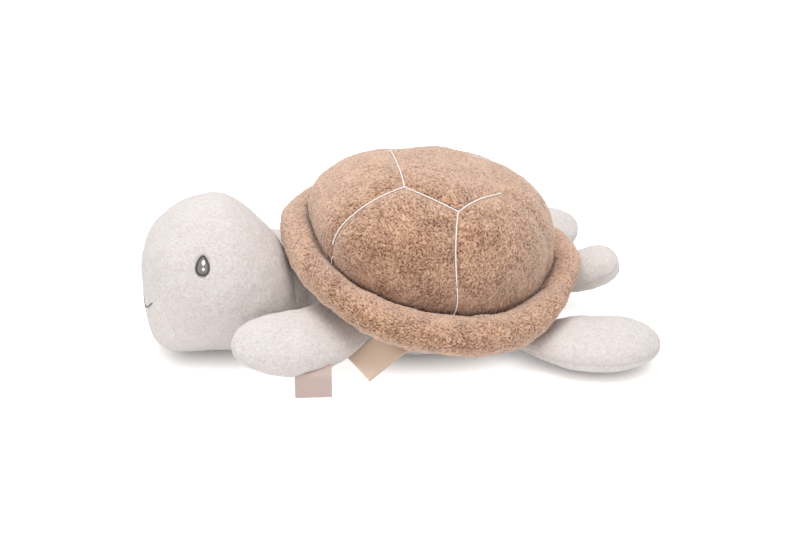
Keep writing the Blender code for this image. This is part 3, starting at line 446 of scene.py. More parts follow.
def dome_points(radius, share):
    """The dome: the seam's outline drawn in by the sine of the radius and swollen below the crown,
    rising from the seam to the crown as a rounded quarter, blunter at the rear."""
    angle = even_angle(share)
    x, y = plan_point(angle)
    out = np.sin(radius * math.pi / 2)
    power = DOME_FRONT + (DOME_REAR - DOME_FRONT) * smooth(-0.5, 0.5, np.cos(angle))
    rise = arc(out ** (1 / power))
    swell = 1 + DOME_BULGE / HALF_WIDTH * np.sin(math.pi * rise) * rise
    crown = CROWN_HEIGHT - CROWN_FALL * x / HALF_LENGTH * smooth(0.0, 0.35, out)
    seam = seam_height(x, y)
    return np.stack([x * out * swell, y * out * swell, seam + (crown - seam) * rise], axis=-1)


def dome_tree():
    """A search tree over a coarse smooth dome."""
    radius, share, faces, _ = disc_grid(COARSE_DOME)
    return form_tree(dome_points(radius, share), faces)


def belly_points(radius, share):
    """The belly: the seam's outline drawn in by the sine of the radius, sinking to a flat at Z = 0."""
    x, y = plan_point(even_angle(share))
    out = np.sin(radius * math.pi / 2)
    rise = arc(out ** (1 / BELLY_TUCK))
    return np.stack([x * out, y * out, seam_height(x, y) * np.maximum(0, 1 - rise / BELLY_FLAT)], axis=-1)


def belly_spot(angle, height):
    """The point of the belly's side at an angle of the seam and a height: the belly's rise turned round."""
    x, y = (float(part) for part in plan_point(angle))
    tuck = float(arc(BELLY_FLAT * (1 - height / float(seam_height(x, y))))) ** BELLY_TUCK
    return Vector((x * tuck, y * tuck, height))


def rim_points(share, around):
    """The rim: an ellipse carried round the seam, its reach, thickness and tilt changing on the way.
    It rides up on the dome at its right front corner and is pinched flatter at its left rear one."""
    angle = even_angle(share)
    front, rear = smooth(0.3, 1.0, -np.cos(angle)), smooth(0.35, 1.0, np.cos(angle))
    reach, thickness = (size[0] + (size[1] - size[0]) * front + (size[2] - size[0]) * rear
                        for size in (RIM_REACH, RIM_THICKNESS))
    thickness = thickness * (1 - RIM_DENT * bell(angle - RIM_DENT_ANGLE, RIM_SPREAD))
    tilt = RIM_REAR_TILT * rear
    x, y = plan_point(angle)
    outward = unit(np.stack([x / HALF_LENGTH ** 2, y / HALF_WIDTH ** 2, np.zeros_like(x)], axis=-1))
    centre = np.hypot(reach * np.cos(tilt), thickness * np.sin(tilt)) - RIM_SINK
    p, q = reach * np.cos(around), thickness * np.sin(around)
    out = centre + p * np.cos(tilt) - q * np.sin(tilt)
    up = reach * np.sin(tilt) + p * np.sin(tilt) + q * np.cos(tilt)
    up += RIM_LIFT * bell(angle - RIM_LIFT_ANGLE, RIM_SPREAD)
    return np.stack([x, y, seam_height(x, y) + up], axis=-1) + outward * out[..., None]


def head_points(directions):
    """Head and neck: sections along X, each an oval as wide and high as the head's rounded box and
    the neck's ball together, with a squarer jowl below its middle. Behind its middle the head
    narrows more slowly from the sides than from above."""
    side, up, ahead = directions[:, 0], directions[:, 1], directions[:, 2]
    back, tip = NECK_X + NECK_RADIUS, HEAD_X - HEAD_LENGTH
    x = (back + tip) / 2 + (back - tip) / 2 * ahead
    flat = np.maximum(np.hypot(side, up), 1e-9)
    side, up = side / flat, up / flat
    low = np.maximum(0, -up)
    neck = NECK_RADIUS * np.where(x > NECK_X, arc((x - NECK_X) / NECK_RADIUS), arc((NECK_X - x) / NECK_REACH))
    front = arc((x - HEAD_X) / HEAD_LENGTH, HEAD_FULLNESS + (JOWL_FRONT - HEAD_FULLNESS) * low)
    tall = np.where(x < HEAD_X, front, arc((x - HEAD_X) / HEAD_LENGTH, HEAD_REAR))
    wide = np.where(x < HEAD_X, front, arc((x - HEAD_X) / HEAD_TAPER))
    width, height = ((neck ** 3 + (size * share) ** 3) ** (1 / 3)
                     for size, share in ((HEAD_WIDTH, wide), (HEAD_HEIGHT, tall)))
    to_head = smooth(NECK_LEVEL, 1, (NECK_X - x) / (NECK_X - HEAD_X))
    middle = NECK_Z + (HEAD_Z - NECK_Z) * to_head - HEAD_BOW * smooth(0, 1, (HEAD_X - x) / HEAD_LENGTH)
    power = 2 / (2 + (JOWL_FULLNESS - 2) * to_head)
    below = up < 0
    side = np.where(below, signed_power(side, power), side)
    up = np.where(below, -low ** power, up)
    height = np.where(below, np.minimum(height, middle - FLOOR_GAP), height)
    return np.stack([x, width * side, middle + height * up], axis=-1)


class Limb:
    """A flipper or the tail: a flat root at its hinge, a swelling and a round tip, bent in its plane.
    Sizes are given in mm and angles in degrees."""

    def __init__(self, name, length, half_width, half_thickness, root_half_width, seat_angle, seat_height,
                 heading, bend, pitch, roll, swell_share, tip_share):
        self.name, self.length, self.root_half_width = name, length * MM, root_half_width * MM
        self.half_width, self.half_thickness = half_width * MM, half_thickness * MM
        self.bend, self.swell_share, self.tip_share = math.radians(bend), swell_share, tip_share
        aim = math.radians(heading)
        self.place = belly_spot(math.radians(seat_angle), seat_height * MM)
        self.place += Vector((math.cos(aim), math.sin(aim), 0)) * (ROOT_RADIUS - SEAT_DEPTH)
        self.turn = (Matrix.Rotation(aim, 3, "Z") @ Matrix.Rotation(math.radians(pitch), 3, "Y")
                     @ Matrix.Rotation(math.radians(roll), 3, "X"))

    def spine(self, x):
        """The middle line: straight behind the hinge, an even bend, then straight to the tip."""
        if self.bend == 0:
            return x, np.zeros_like(x), np.zeros_like(x)
        bent = self.length * BEND_SHARE
        curl = self.bend / bent
        heading = curl * np.clip(x, 0, bent)
        rest = np.maximum(0, x - bent)
        px = np.where(x <= 0, x, np.sin(heading) / curl + np.cos(heading) * rest)
        py = (1 - np.cos(heading)) / curl + np.sin(heading) * rest
        return px, py, heading

    def section(self, x):
        """Half width and half thickness: round root, a smooth swelling, a round tip."""
        root = arc(np.minimum(0, x) / ROOT_RADIUS)
        swell = smooth(0, self.length * self.swell_share, x)
        tip_length = self.length * self.tip_share
        tip = arc(np.maximum(0, x - self.length + tip_length) / tip_length)
        width = self.root_half_width + (self.half_width - self.root_half_width) * swell
        thickness = ROOT_RADIUS + (self.half_thickness - ROOT_RADIUS) * swell
        return width * np.sqrt(root) * tip, thickness * root * tip

    def rings(self, step):
        """Distances from the hinge at which rings stand, evenly spaced along the limb's outline."""
        x = np.linspace(-ROOT_RADIUS, self.length, 4001)
        along = travelled(np.stack([x, self.section(x)[0]], axis=-1))
        return np.interp(np.linspace(0, along[-1], int(along[-1] / step))[1:-1], along, x)

    def skin(self, step):
        """Its closed surface: an oval ring across the spine at each distance, and a fan at the root and
        at the tip. Also each point's distance from the hinge, turn round the spine and height on it."""
        rings = self.rings(step)
        widest = 2 * math.pi * math.sqrt((self.half_width ** 2 + self.half_thickness ** 2) / 2)
        columns = int(widest / step)
        turns = np.linspace(0, 2 * math.pi, columns, endpoint=False)
        x, turn = (grid.ravel() for grid in np.meshgrid(rings, turns, indexing="ij"))
        x, turn = np.append(x, (-ROOT_RADIUS, self.length)), np.append(turn, (0, 0))
        width, thickness = self.section(x)
        px, py, heading = self.spine(x)
        across, up = width * np.cos(turn), thickness * np.sin(turn)
        local = np.stack([px - across * np.sin(heading), py + across * np.cos(heading), up], axis=-1)
        count = len(rings) * columns
        fans = np.concatenate([fan_faces(np.arange(columns), count)[:, ::-1],
                               fan_faces(np.arange(count - columns, count), count + 1)])
        points = local @ np.array(self.turn).T + np.array(self.place)
        return points, [grid_faces(len(rings), columns, wrap_columns=True), fans], x, turn, up


LIMBS = [
    Limb("front_flipper_left", 88.5, 24, 15, 22, -143, 39.5, -131, -42, 9, -26.5, 0.52, 0.52),
    Limb("front_flipper_right", 88.5, 24, 15, 22, 143, 35, 131, 42, 13, 6, 0.52, 0.52),
    Limb("rear_flipper_left", 96.5, 28.2, 14.5, 18, -48, 12.8, -42.5, 28, -2.4, 0, 0.45, 0.36),
    Limb("rear_flipper_right", 93, 27, 14.5, 18, 48, 12.8, 48, -26, -2.4, 0, 0.45, 0.36),
    Limb("tail", 58, 18.8, 13.5, 13, 0, 18.5, 0, 0, -17, 0, 0.6, 0.29),
]


# Settings


def length_setting(name, default, description):
    """A property for a length in metres."""
    return bpy.props.FloatProperty(name=name, description=description, default=default, subtype="DISTANCE")


def angle_setting(name, degrees, description):
    """A property for an angle."""
    return bpy.props.FloatProperty(name=name, description=description, default=math.radians(degrees),
                                   subtype="ANGLE")


def colour_setting(name, shown, description):
    """A property for a colour, given as a picker shows it."""
    return bpy.props.FloatVectorProperty(name=name, description=description, default=picked(*shown),
                                         subtype="COLOR")


class PileSettings(bpy.types.PropertyGroup):
    """The cloths' loops, how high they stand, and their colours at tip and root."""

    fleece_curl: length_setting("Fleece curl", 1.9 * MM, "Width of a fleece curl")
    fleece_depth: length_setting("Fleece depth", 1.6 * MM, "Height of the fleece's curls")
    terry_curl: length_setting("Terry loop", 1.8 * MM, "Width of a terry loop")
    terry_depth: length_setting("Terry depth", 0.5 * MM, "Height of the terry's loops")
    mesh_step: length_setting("Mesh step", 0.6 * MM, "Distance between points of a cover")
    fleece_tip: colour_setting("Fleece tips", (240, 194, 160), "Colour of the curls' tips")
    fleece_root: colour_setting("Fleece roots", (100, 47, 20), "Colour between the curls")
    terry_tip: colour_setting("Terry tips", (230, 225, 223), "Colour of the loops' tips")
    terry_root: colour_setting("Terry roots", (208, 197, 191), "Colour between the loops")


class ThreadSettings(bpy.types.PropertyGroup):
    """Sewing and embroidery threads."""

    line_radius: length_setting("Line thread", 0.45 * MM, "Radius of the shell's white thread")
    line_groove: length_setting("Line groove", 1.8 * MM, "How far the white lines draw the shell in")
    mouth_radius: length_setting("Mouth thread", 0.38 * MM, "Radius of the mouth's thread")
    white: colour_setting("White thread", (254, 251, 248), "Colour of the shell's lines")
    dark: colour_setting("Dark thread", (84, 76, 76), "Colour of the eyes' outline and the mouth")
    grey: colour_setting("Grey thread", (136, 127, 125), "Colour of the eyes' filling stitches")


class LabelSettings(bpy.types.PropertyGroup):
    """The two bare ribbon labels."""

    mauve: colour_setting("Mauve ribbon", (202, 181, 174), "Colour of the woven label")
    gold: colour_setting("Gold ribbon", (255, 226, 203), "Colour of the satin label")
    rib: length_setting("Rib", 0.45 * MM, "Distance between a ribbon's woven ribs")


class StageSettings(bpy.types.PropertyGroup):
    """Camera, light and floor."""

    azimuth: angle_setting("Azimuth", -11, "Turn of the camera round the turtle")
    elevation: angle_setting("Elevation", 30, "Angle of the camera over the floor")
    distance: length_setting("Distance", 1.13, "From the camera to the point it faces")
    lens: bpy.props.FloatProperty(name="Lens", description="Focal length in millimetres", default=72.0)
    floor: colour_setting("Floor", (250, 249, 248), "Colour of the floor")


# Materials


def once(shelf):
    """Let a function build what it names the first time, and find it among Blender's data after that."""
    def keep(build):
        def find_or_build(name, *rest):
            return getattr(bpy.data, shelf).get(name) or build(name, *rest)
        find_or_build.__doc__ = build.__doc__
        return find_or_build
    return keep


class Wiring:
    """Puts shader nodes into a tree. An input is given as a value, or as the output that feeds it."""

    def __init__(self, tree):
        self.nodes, self.links = tree.nodes, tree.links

    def feed(self, node, inputs):
        """Set each input of a node, or link the output that feeds it."""
        for word, given in inputs.items():
            if isinstance(given, bpy.types.NodeSocket):
                self.links.new(given, node.inputs[word])
            else:
                node.inputs[word].default_value = given

    def add(self, kind, inputs=None, **settings):
        """A new node of a kind, with its settings made before its inputs, which depend on them."""
        node = self.nodes.new("ShaderNode" + kind)
        for word, setting in settings.items():
            setattr(node, word, setting)
        self.feed(node, inputs or {})
        return node

    def math(self, operation, *values):
        """What a Math node makes of some values."""
        return self.add("Math", dict(enumerate(values)), operation=operation).outputs[0]

    def mix(self, share, first, second):
        """A colour between two others."""
        return self.add("Mix", {"Factor": share, "A": first, "B": second}, data_type="RGBA").outputs["Result"]

    def noise(self, place, scale, detail=2.0, distortion=0.0):
        """Noise from 0 to 1 at a place."""
        inputs = {"Vector": place, "Scale": scale, "Detail": detail, "Distortion": distortion}
        return self.add("TexNoise", inputs).outputs["Fac"]

    def bump(self, height, strength, distance):
        """The surface's normal, tilted by a height."""
        inputs = {"Height": height, "Strength": strength, "Distance": distance}
        return self.add("Bump", inputs).outputs["Normal"]


def new_material(name, roughness):
    """A material of that roughness, a wiring for its nodes, and its Principled BSDF."""
    made = bpy.data.materials.new(name)
    made.use_nodes = True
    shader = made.node_tree.nodes["Principled BSDF"]
    shader.inputs["Roughness"].default_value = roughness
    return made, Wiring(made.node_tree), shader


def new_group(name, **inputs):
    """A shader group with named inputs that gives a Color and a Height for a bump. Also its wiring, what
    it is given, and the node that takes its results."""
    group = bpy.data.node_groups.new(name, "ShaderNodeTree")
    for way, sockets in (("INPUT", inputs), ("OUTPUT", {"Color": "Color", "Height": "Float"})):
        for word, kind in sockets.items():
            group.interface.new_socket(word.replace("_", " "), in_out=way, socket_type="NodeSocket" + kind)
    given, taken = group.nodes.new("NodeGroupInput"), group.nodes.new("NodeGroupOutput")
    return group, Wiring(group), given.outputs, taken


@once("node_groups")
def pile_group(name):
    """Shader group: the pile's height from root to tip, mottled by broad and fine noise, gives the
    colour, and the fine fibre noise gives the height."""
    group, wiring, given, taken = new_group(name, Pile="Float", Tip="Color", Root="Color", Fibre_size="Float",
                                            Mottle="Float")
    place = wiring.add("TexCoord").outputs["Object"]
    fibres = wiring.noise(place, wiring.math("DIVIDE", 1.0, given["Fibre size"]), 3.0, 1.5)
    broad = wiring.noise(place, BROAD_MOTTLE)
    uneven = wiring.math("SUBTRACT", wiring.math("ADD", fibres, broad), 1.0)
    share = wiring.math("MULTIPLY_ADD", uneven, given["Mottle"], given["Pile"])
    wiring.feed(taken, {"Color": wiring.mix(share, given["Root"], given["Tip"]), "Height": fibres})
    return group


@once("node_groups")
def thread_group(name):
    """Shader group: fine noise gives a thread's fibres, and its colour between two tones."""
    group, wiring, given, taken = new_group(name, Dark="Color", Light="Color")
    fibres = wiring.noise(wiring.add("TexCoord").outputs["Object"], THREAD_NOISE)
    wiring.feed(taken, {"Color": wiring.mix(fibres, given["Dark"], given["Light"]), "Height": fibres})
    return group


@once("node_groups")
def weave_group(name):
    """Shader group: two sets of ribs cross on a cloth's own map, each with a scale and a weight, and a
    mottle of the threads gives the colour between two tones."""
    group, wiring, given, taken = new_group(
        name, Cloth="Vector", X_scale="Float", X_weight="Float", Y_scale="Float", Y_weight="Float",
        Dark="Color", Light="Color")
    across, along = (wiring.add("TexWave", {"Vector": given["Cloth"], "Scale": given[way + " scale"],
                                            "Distortion": RIB_WANDER}, wave_type="BANDS",
                                bands_direction=way).outputs["Fac"] for way in "XY")
    weave = wiring.math("MULTIPLY_ADD", across, given["X weight"],
                        wiring.math("MULTIPLY", along, given["Y weight"]))
    share = wiring.math("MULTIPLY", weave, wiring.noise(given["Cloth"], RIBBON_NOISE))
    wiring.feed(taken, {"Color": wiring.mix(share, given["Dark"], given["Light"]), "Height": weave})
    return group


@once("materials")
def pile_material(name, tip, root, painted_sheen, mottle, bump, sheen):
    """Cloth pile: colour from the looped pile group, paler where it is seen aslant and only its tips
    show, a bump of its fibres, and a soft sheen."""
    made, wiring, shader = new_material(name, 0.95)
    pile = wiring.add("Group", {
        "Pile": wiring.add("Attribute", attribute_name="pile").outputs["Fac"], "Tip": tone(tip),
        "Root": tone(root), "Fibre size": FIBRE_SIZE, "Mottle": mottle}, node_tree=pile_group("looped pile"))
    # Painted sheen: the colour turns pale where the surface is seen aslant
    aslant = wiring.add("LayerWeight", {"Blend": 0.5}).outputs["Facing"]
    pale = (*(SHEEN_PALENESS + (1 - SHEEN_PALENESS) * part for part in tip), 1)
    wiring.feed(shader, {
        "Base Color": wiring.mix(wiring.math("MULTIPLY", aslant, painted_sheen), pile.outputs["Color"], pale),
        "Normal": wiring.bump(pile.outputs["Height"], 0.8, bump), "Specular IOR Level": 0.15,
        "Sheen Weight": sheen, "Sheen Roughness": 0.4, "Sheen Tint": pale})
    return made


@once("materials")
def thread_material(name, colour):
    """Thread: a colour that is a little darker and lighter along it, with fine fibres."""
    made, wiring, shader = new_material(name, 0.6)
    dark, light = (tone(colour, factor) for factor in THREAD_TONES)
    thread = wiring.add("Group", {"Dark": dark, "Light": light}, node_tree=thread_group("thread fibres"))
    wiring.feed(shader, {"Base Color": thread.outputs["Color"], "Sheen Weight": 0.2,
                         "Normal": wiring.bump(thread.outputs["Height"], 0.6, THREAD_BUMP)})
    return made


@once("materials")
def ribbon_material(name, colour, rib, roughness, main_way, gloss):
    """Woven ribbon: fine ribs along one way of its cloth map, in metres, crossed by weaker threads."""
    made, wiring, shader = new_material(name, roughness)
    dark, light = (tone(colour, factor) for factor in RIBBON_TONES)
    cloth = {"Cloth": wiring.add("UVMap", uv_map="cloth").outputs["UV"], "Dark": dark, "Light": light}
    for way in "XY":
        size, weight = (rib, 1.0) if way == main_way else (rib * CROSS_RIB, CROSS_WEIGHT)
        cloth.update({way + " scale": math.pi / 10 / size, way + " weight": weight})
    weave = wiring.add("Group", cloth, node_tree=weave_group("ribbon weave"))
    wiring.feed(shader, {"Base Color": weave.outputs["Color"], "Specular IOR Level": gloss,
                         "Normal": wiring.bump(weave.outputs["Height"], 0.5, RIBBON_BUMP)})
    return made


# Covers


def raise_pile(name, points, groups, cloth, lumps, dips, keep, seed, painted_shade=1.0):
    """Give a closed form its cloth: move each point along its normal by the stuffing's broad lumps,
    less the dips of seams and lines, plus the curls' height times how much of the pile stands there.
    Shade below 1 shows more of the pile's roots. Nothing goes below the floor."""
    pile = bpy.context.scene.turtle_pile
    curl, depth, tip, root = (getattr(pile, f"{cloth}_{word}") for word in ("curl", "depth", "tip", "root"))
    groups = facing_out(points, groups)
    height = curls(points, curl, seed) * keep
    uneven = lumps * (ripple(points, LUMP_WIDTH, seed + LUMP_SEED)
                      + ripple(points, SMALL_LUMP_WIDTH, seed + LUMP_SEED + 1) * SMALL_LUMP_SHARE)
    lift = uneven - dips + (height - PILE_MIDDLE) * depth
    raised = points + point_normals(points, groups) * lift[:, None]
    raised[:, 2] = np.maximum(raised[:, 2], FLOOR_GAP)
    finish, *looks = CLOTHS[cloth]
    # The pile value that sets the colour: the curls' height, times the painted shade
    shown = {"pile": (height + PILE_MIDDLE * (1 - keep)) * painted_shade}
    return mesh_object(name, raised, groups, pile_material(finish, tip, root, *looks), shown)


def finish_piece(piece, body, slot, *nodes, fill=None):
    """Say which body a piece rides on, which nodes it stands for, its finish, and how full it is."""
    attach(piece, body)
    if nodes:
        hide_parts(*nodes)


def shell_line_paths():
    """The stitched lines on the smooth dome, by name: round the top panel by casting down from above,
    and from its corners to the rim by casting outwards from the seam's height under each corner, from
    a spot that moves aside and back by the line's bow."""
    tree = dome_tree()
    corners, ends = (np.array(shares) * (HALF_LENGTH, HALF_WIDTH) for shares in (LINE_CORNERS, LINE_ENDS))
    lines = {}
    for k, (start, end) in enumerate(zip(corners, np.roll(corners, -1, axis=0)), 1):
        count = int(np.linalg.norm(end - start) / LINE_STEP) + 1
        spots = [start + (end - start) * t for t in np.linspace(0, 1, count)]
        lines[f"top_line_{k}"] = np.array(
            [tree.ray_cast((x, y, 2 * CROWN_HEIGHT), (0, 0, -1))[0] for x, y in spots])
    for k, (start, end, bow) in enumerate(zip(corners, ends, LINE_BOWS), 1):
        foot = Vector((*start, float(seam_height(*start))))
        outward = (end - start) / np.linalg.norm(end - start)
        across = Vector((-outward[1], outward[0], 0)) * bow
        found = [np.array(tree.ray_cast((*start, 2 * CROWN_HEIGHT), (0, 0, -1))[0])]
        for share in np.linspace(0, 1, LINE_CASTS):
            angle = math.radians(LINE_CAST_FROM - LINE_CAST_TURN * share)
            aim = Vector((*(outward * math.cos(angle)), math.sin(angle)))
            aside = math.sin(math.pi * min(1, LINE_BOW_SPEED * share))
            place = tree.ray_cast(foot + across * aside, aim)[0]
            if place is None or place.z < seam_height(place.x, place.y) + LINE_FOOT:
                break
            found.append(np.array(place))
        lines[f"side_line_{k}"] = even_path(np.array(found), LINE_STEP)
    return lines


def crease_path():
    """Where the rim meets the dome: for each share of the way round, the nearest pair of points of
    the rim's upper inner quarter and of the dome's foot."""
    count = 400
    share = np.arange(count) / count
    rim = rim_points(*np.meshgrid(share, np.radians(np.linspace(85, 180, 60)), indexing="ij"))
    dome = dome_points(*np.meshgrid(np.linspace(0.55, 1.0, 80), share))
    gaps = np.linalg.norm(rim[:, :, None] - dome[:, None], axis=-1).reshape(count, -1)
    return rim[np.arange(count), gaps.argmin(axis=1) // dome.shape[1]]


CREASE = crease_path()
SHELL_LINES = shell_line_paths()
SHELL_PANELS = ("shell_top_panel", "shell_panel_front", "shell_panel_front_left", "shell_panel_front_right",
                "shell_panel_rear", "shell_panel_rear_left", "shell_panel_rear_right")


class MESH_OT_turtle_shell(bpy.types.Operator):
    """Add the fleece dome of the shell, drawn in along its stitched lines"""

    bl_idname = "mesh.turtle_shell"
    bl_label = "Shell dome"

    def execute(self, context):
        step = context.scene.turtle_pile.mesh_step * DOME_STEP
        radius, share, faces, edge = disc_grid(int(DOME_SPAN / step))
        points, groups = close_below(dome_points(radius, share), faces, edge, DOME_INSIDE, DOME_DROP)
        lines = np.concatenate(list(SHELL_LINES.values()))[::2]
        shown = np.concatenate([path for name, path in SHELL_LINES.items() if name not in BURIED_LINES])[::2]
        to_crease = distance_to(points, CREASE)
        crease = bell(to_crease, DOME_CREASE_WIDTH)
        groove = context.scene.turtle_thread.line_groove * bell(distance_to(points, lines), LINE_GROOVE_WIDTH)
        # Painted shade: darker pile colour in the crease at the rim and in a band fading up the dome's foot
        painted_shade = (1 - CREASE_SHADE * crease) * (1 - FOOT_SHADE * np.exp(-to_crease / FOOT_SHADE_REACH))
        piece = raise_pile("shell_cover", points, groups, "fleece", lumps=0.9 * MM,
                           dips=groove + DOME_CREASE_DEPTH * crease,
                           keep=smooth(*LINE_BARE, distance_to(points, shown)), seed=5, painted_shade=painted_shade)
        finish_piece(piece, "body", "shell_fleece", *SHELL_PANELS, "body_stuffing", fill=0.9)
        return {"FINISHED"}


class MESH_OT_turtle_lines(bpy.types.Operator):
    """Add the thick white stitched lines on the shell"""

    bl_idname = "mesh.turtle_lines"
    bl_label = "Shell lines"

    def execute(self, context):
        thread = context.scene.turtle_thread
        finish = thread_material("white thread", thread.white)
        tree = dome_tree()
        for name, path in SHELL_LINES.items():
            ups = outward_slopes(tree, path, DOME_MIDDLE)
            turn = np.arange(len(path)) * LINE_STEP / LINE_TWIST * 2 * math.pi
            uneven = LINE_STRANDS * np.cos(2 * turn) + LINE_UNEVEN * ripple(path, 2 * MM, 3)
            radii = thread.line_radius * (1 + uneven)
            buried = 1.0 if name in BURIED_LINES else smooth(*LINE_HIDDEN, ripple(path, LINE_HIDDEN_WIDTH, 4))
            lift = thread.line_radius * LINE_STAND - thread.line_groove - LINE_SINK * buried
            centres = path + ups * (lift + LINE_WEAVE * np.sin(turn))[:, None]
            piece = tubes(name + "_thread", centres[None], ups[None], radii[None], LINE_SIDES, finish,
                          LINE_SQUASH)
            finish_piece(piece, "body", "white_thread", name)
        return {"FINISHED"}


class MESH_OT_turtle_rim(bpy.types.Operator):
    """Add the stuffed fleece roll round the shell"""

    bl_idname = "mesh.turtle_rim"
    bl_label = "Rim"

    def execute(self, context):
        step = context.scene.turtle_pile.mesh_step * RIM_STEP
        rows, columns = int(RIM_ROUND / step), int(RIM_GIRTH / step)
        share, around = (grid.ravel() for grid in np.meshgrid(
            np.arange(rows) / rows, np.arange(columns) / columns * 2 * math.pi - math.pi, indexing="ij"))
        points = rim_points(share, around)
        off_seam = np.abs((around - RIM_SEAM_ANGLE + math.pi) % (2 * math.pi) - math.pi)
        seam = bell(off_seam, RIM_SEAM_WIDTH)
        crease = bell(distance_to(points, CREASE), RIM_CREASE_WIDTH)
        puckers = ripple(np.stack([share * PUCKERS, around * 0.5, share * 0], axis=-1), 1.0, 17)
        room = (smooth(*ROOM_ENDS, np.abs(np.cos(even_angle(share))))
                * smooth(*ROOM_UNDER, np.cos(around - RIM_SEAM_ANGLE)))
        dips = (RIM_SEAM_DEPTH * seam + PUCKER_DEPTH * puckers * bell(off_seam, PUCKER_REACH)
                + RIM_CREASE_DEPTH * crease + RIM_ROOM * room)
        # Painted shade: darker pile colour in the rim's crease against the dome
        piece = raise_pile("rim_cover", points, [grid_faces(rows, columns, True, True)], "fleece",
                           lumps=1.3 * MM, dips=dips, keep=1 - SEAM_HIDES * seam, seed=6,
                           painted_shade=1 - CREASE_SHADE * crease)
        finish_piece(piece, "body", "shell_fleece", "rim_top_strip", "rim_under_strip", "rim_stuffing",
                     fill=0.8)
        return {"FINISHED"}


class MESH_OT_turtle_belly(bpy.types.Operator):
    """Add the terry belly under the shell"""

    bl_idname = "mesh.turtle_belly"
    bl_label = "Belly"

    def execute(self, context):
        step = context.scene.turtle_pile.mesh_step * BELLY_STEP
        radius, share, faces, edge = disc_grid(int(BELLY_SPAN / step))
        points, groups = close_below(belly_points(radius, share), faces, edge, BELLY_INSIDE, BELLY_DROP)
        piece = raise_pile("belly_cover", points, groups, "terry", lumps=0.5 * MM, dips=np.zeros(len(points)),
                           keep=np.ones(len(points)), seed=7)
        finish_piece(piece, "body", "cream_terry", "belly_panel", fill=0.8)
        return {"FINISHED"}


def eye_outline(turn, size=1.0):
    """An upright drop: sine across and cosine up, narrower towards the top. In metres, about its middle."""
    across = np.sin(turn) * EYE_WIDE * size * (1 - EYE_TAPER * np.cos(turn))
    return across, np.cos(turn) * EYE_TALL * size


class HeadSkin:
    """The smooth head, and a way to lay small flat drawings on it."""

    def __init__(self):
        directions, faces = ball_mesh(COARSE_HEAD)
        self.tree = form_tree(head_points(directions), faces)

    def eye_frame(self, side):
        """An eye's middle on the head, and the vectors across, up and out of the head there."""
        start = Vector((EYE_X, side * HEAD_WIDTH * 2, EYE_Z))
        centre, slope = self.tree.ray_cast(start, Vector((0, -side, 0)))[:2]
        if slope.y * side < 0:
            slope = -slope
        up = (Vector((0, 0, 1)) - slope * slope.z).normalized()
        return centre, up.cross(slope), up, slope

    def lay(self, view, across, up):
        """Places and slopes on the head of points given across and up in an eye's frame."""
        centre, right, top, slope = view
        places, slopes = [], []
        for a, b in zip(across, up):
            start = centre + right * float(a) + top * float(b) + slope * EYE_REACH
            place, normal = self.tree.ray_cast(start, -slope)[:2]
            places.append(place)
            slopes.append(normal if normal.dot(slope) > 0 else -normal)
        return np.array(places), np.array(slopes)

    def mouth_path(self):
        """The mouth: a line across the muzzle that lifts with the cube of its share at both ends."""
        found = []
        for share in np.linspace(-1, 1, 241):
            height = MOUTH_Z + MOUTH_RISE * abs(share) ** 3
            start = Vector((HEAD_X - 2 * HEAD_LENGTH, MOUTH_WIDE * share, height))
            found.append(np.array(self.tree.ray_cast(start, Vector((1, 0, 0)))[0]))
        return even_path(np.array(found), MOUTH_STEP)


HEAD_SKIN = HeadSkin()
MOUTH_PATH = HEAD_SKIN.mouth_path()


class MESH_OT_turtle_head(bpy.types.Operator):
    """Add the terry head and neck, with its seams and the filling at the neck's joint"""

    bl_idname = "mesh.turtle_head"
    bl_label = "Head"

    def execute(self, context):
        directions, faces = ball_mesh(int(HEAD_SPAN / context.scene.turtle_pile.mesh_step))
        points = head_points(directions)
        x, y, z = points.T
        ahead = smooth(0, SEAM_START, NECK_X - x)
        chin = bell(z - CHIN_HEIGHT, CHIN_SEAM_WIDTH) * ahead
        middle = bell(y, FACE_SEAM_WIDTH) * (z > CHIN_HEIGHT) * ahead
        mouth = bell(distance_to(points, MOUTH_PATH[::2]), MOUTH_WIDTH)
        eyes = np.zeros(len(points))
        for side in (-1, 1):
            centre, across, up, _ = HEAD_SKIN.eye_frame(side)
            off = points - np.array(centre)
            reach = np.hypot(off @ np.array(across) / EYE_WIDE, off @ np.array(up) / EYE_TALL)
            near = np.abs(off[:, 1]) <= EYE_REACH
            eyes = np.maximum(eyes, near * (1 - smooth(1.0, EYE_RIM, reach)))
        dips = CHIN_SEAM_DEPTH * chin + FACE_SEAM_DEPTH * middle + EYE_DEPTH * eyes + MOUTH_DEPTH * mouth
        keep = ((1 - SEAM_HIDES * chin) * (1 - FACE_SEAM_HIDES * middle) * (1 - EYE_HIDES * eyes)
                * (1 - MOUTH_HIDES * mouth))
        piece = raise_pile("head_cover", points, [faces], "terry", lumps=0.9 * MM, dips=dips, keep=keep,
                           seed=8)
        finish_piece(piece, "head", "cream_terry", "head_left_panel", "head_right_panel", "chin_panel",
                     "head_stuffing", fill=0.95)
        directions, faces = ball_mesh(COARSE_FILLING)
        points = directions * NECK_FILLING_RADIUS + (NECK_X, 0, NECK_Z)
        filling = raise_pile("neck_filling", points, [faces], "terry", lumps=0.5 * MM, dips=FILLING_DEPTH,
                             keep=np.ones(len(points)), seed=9)
        finish_piece(filling, "neck", "fibre_stuffing", "neck_stuffing", fill=0.8)
        return {"FINISHED"}


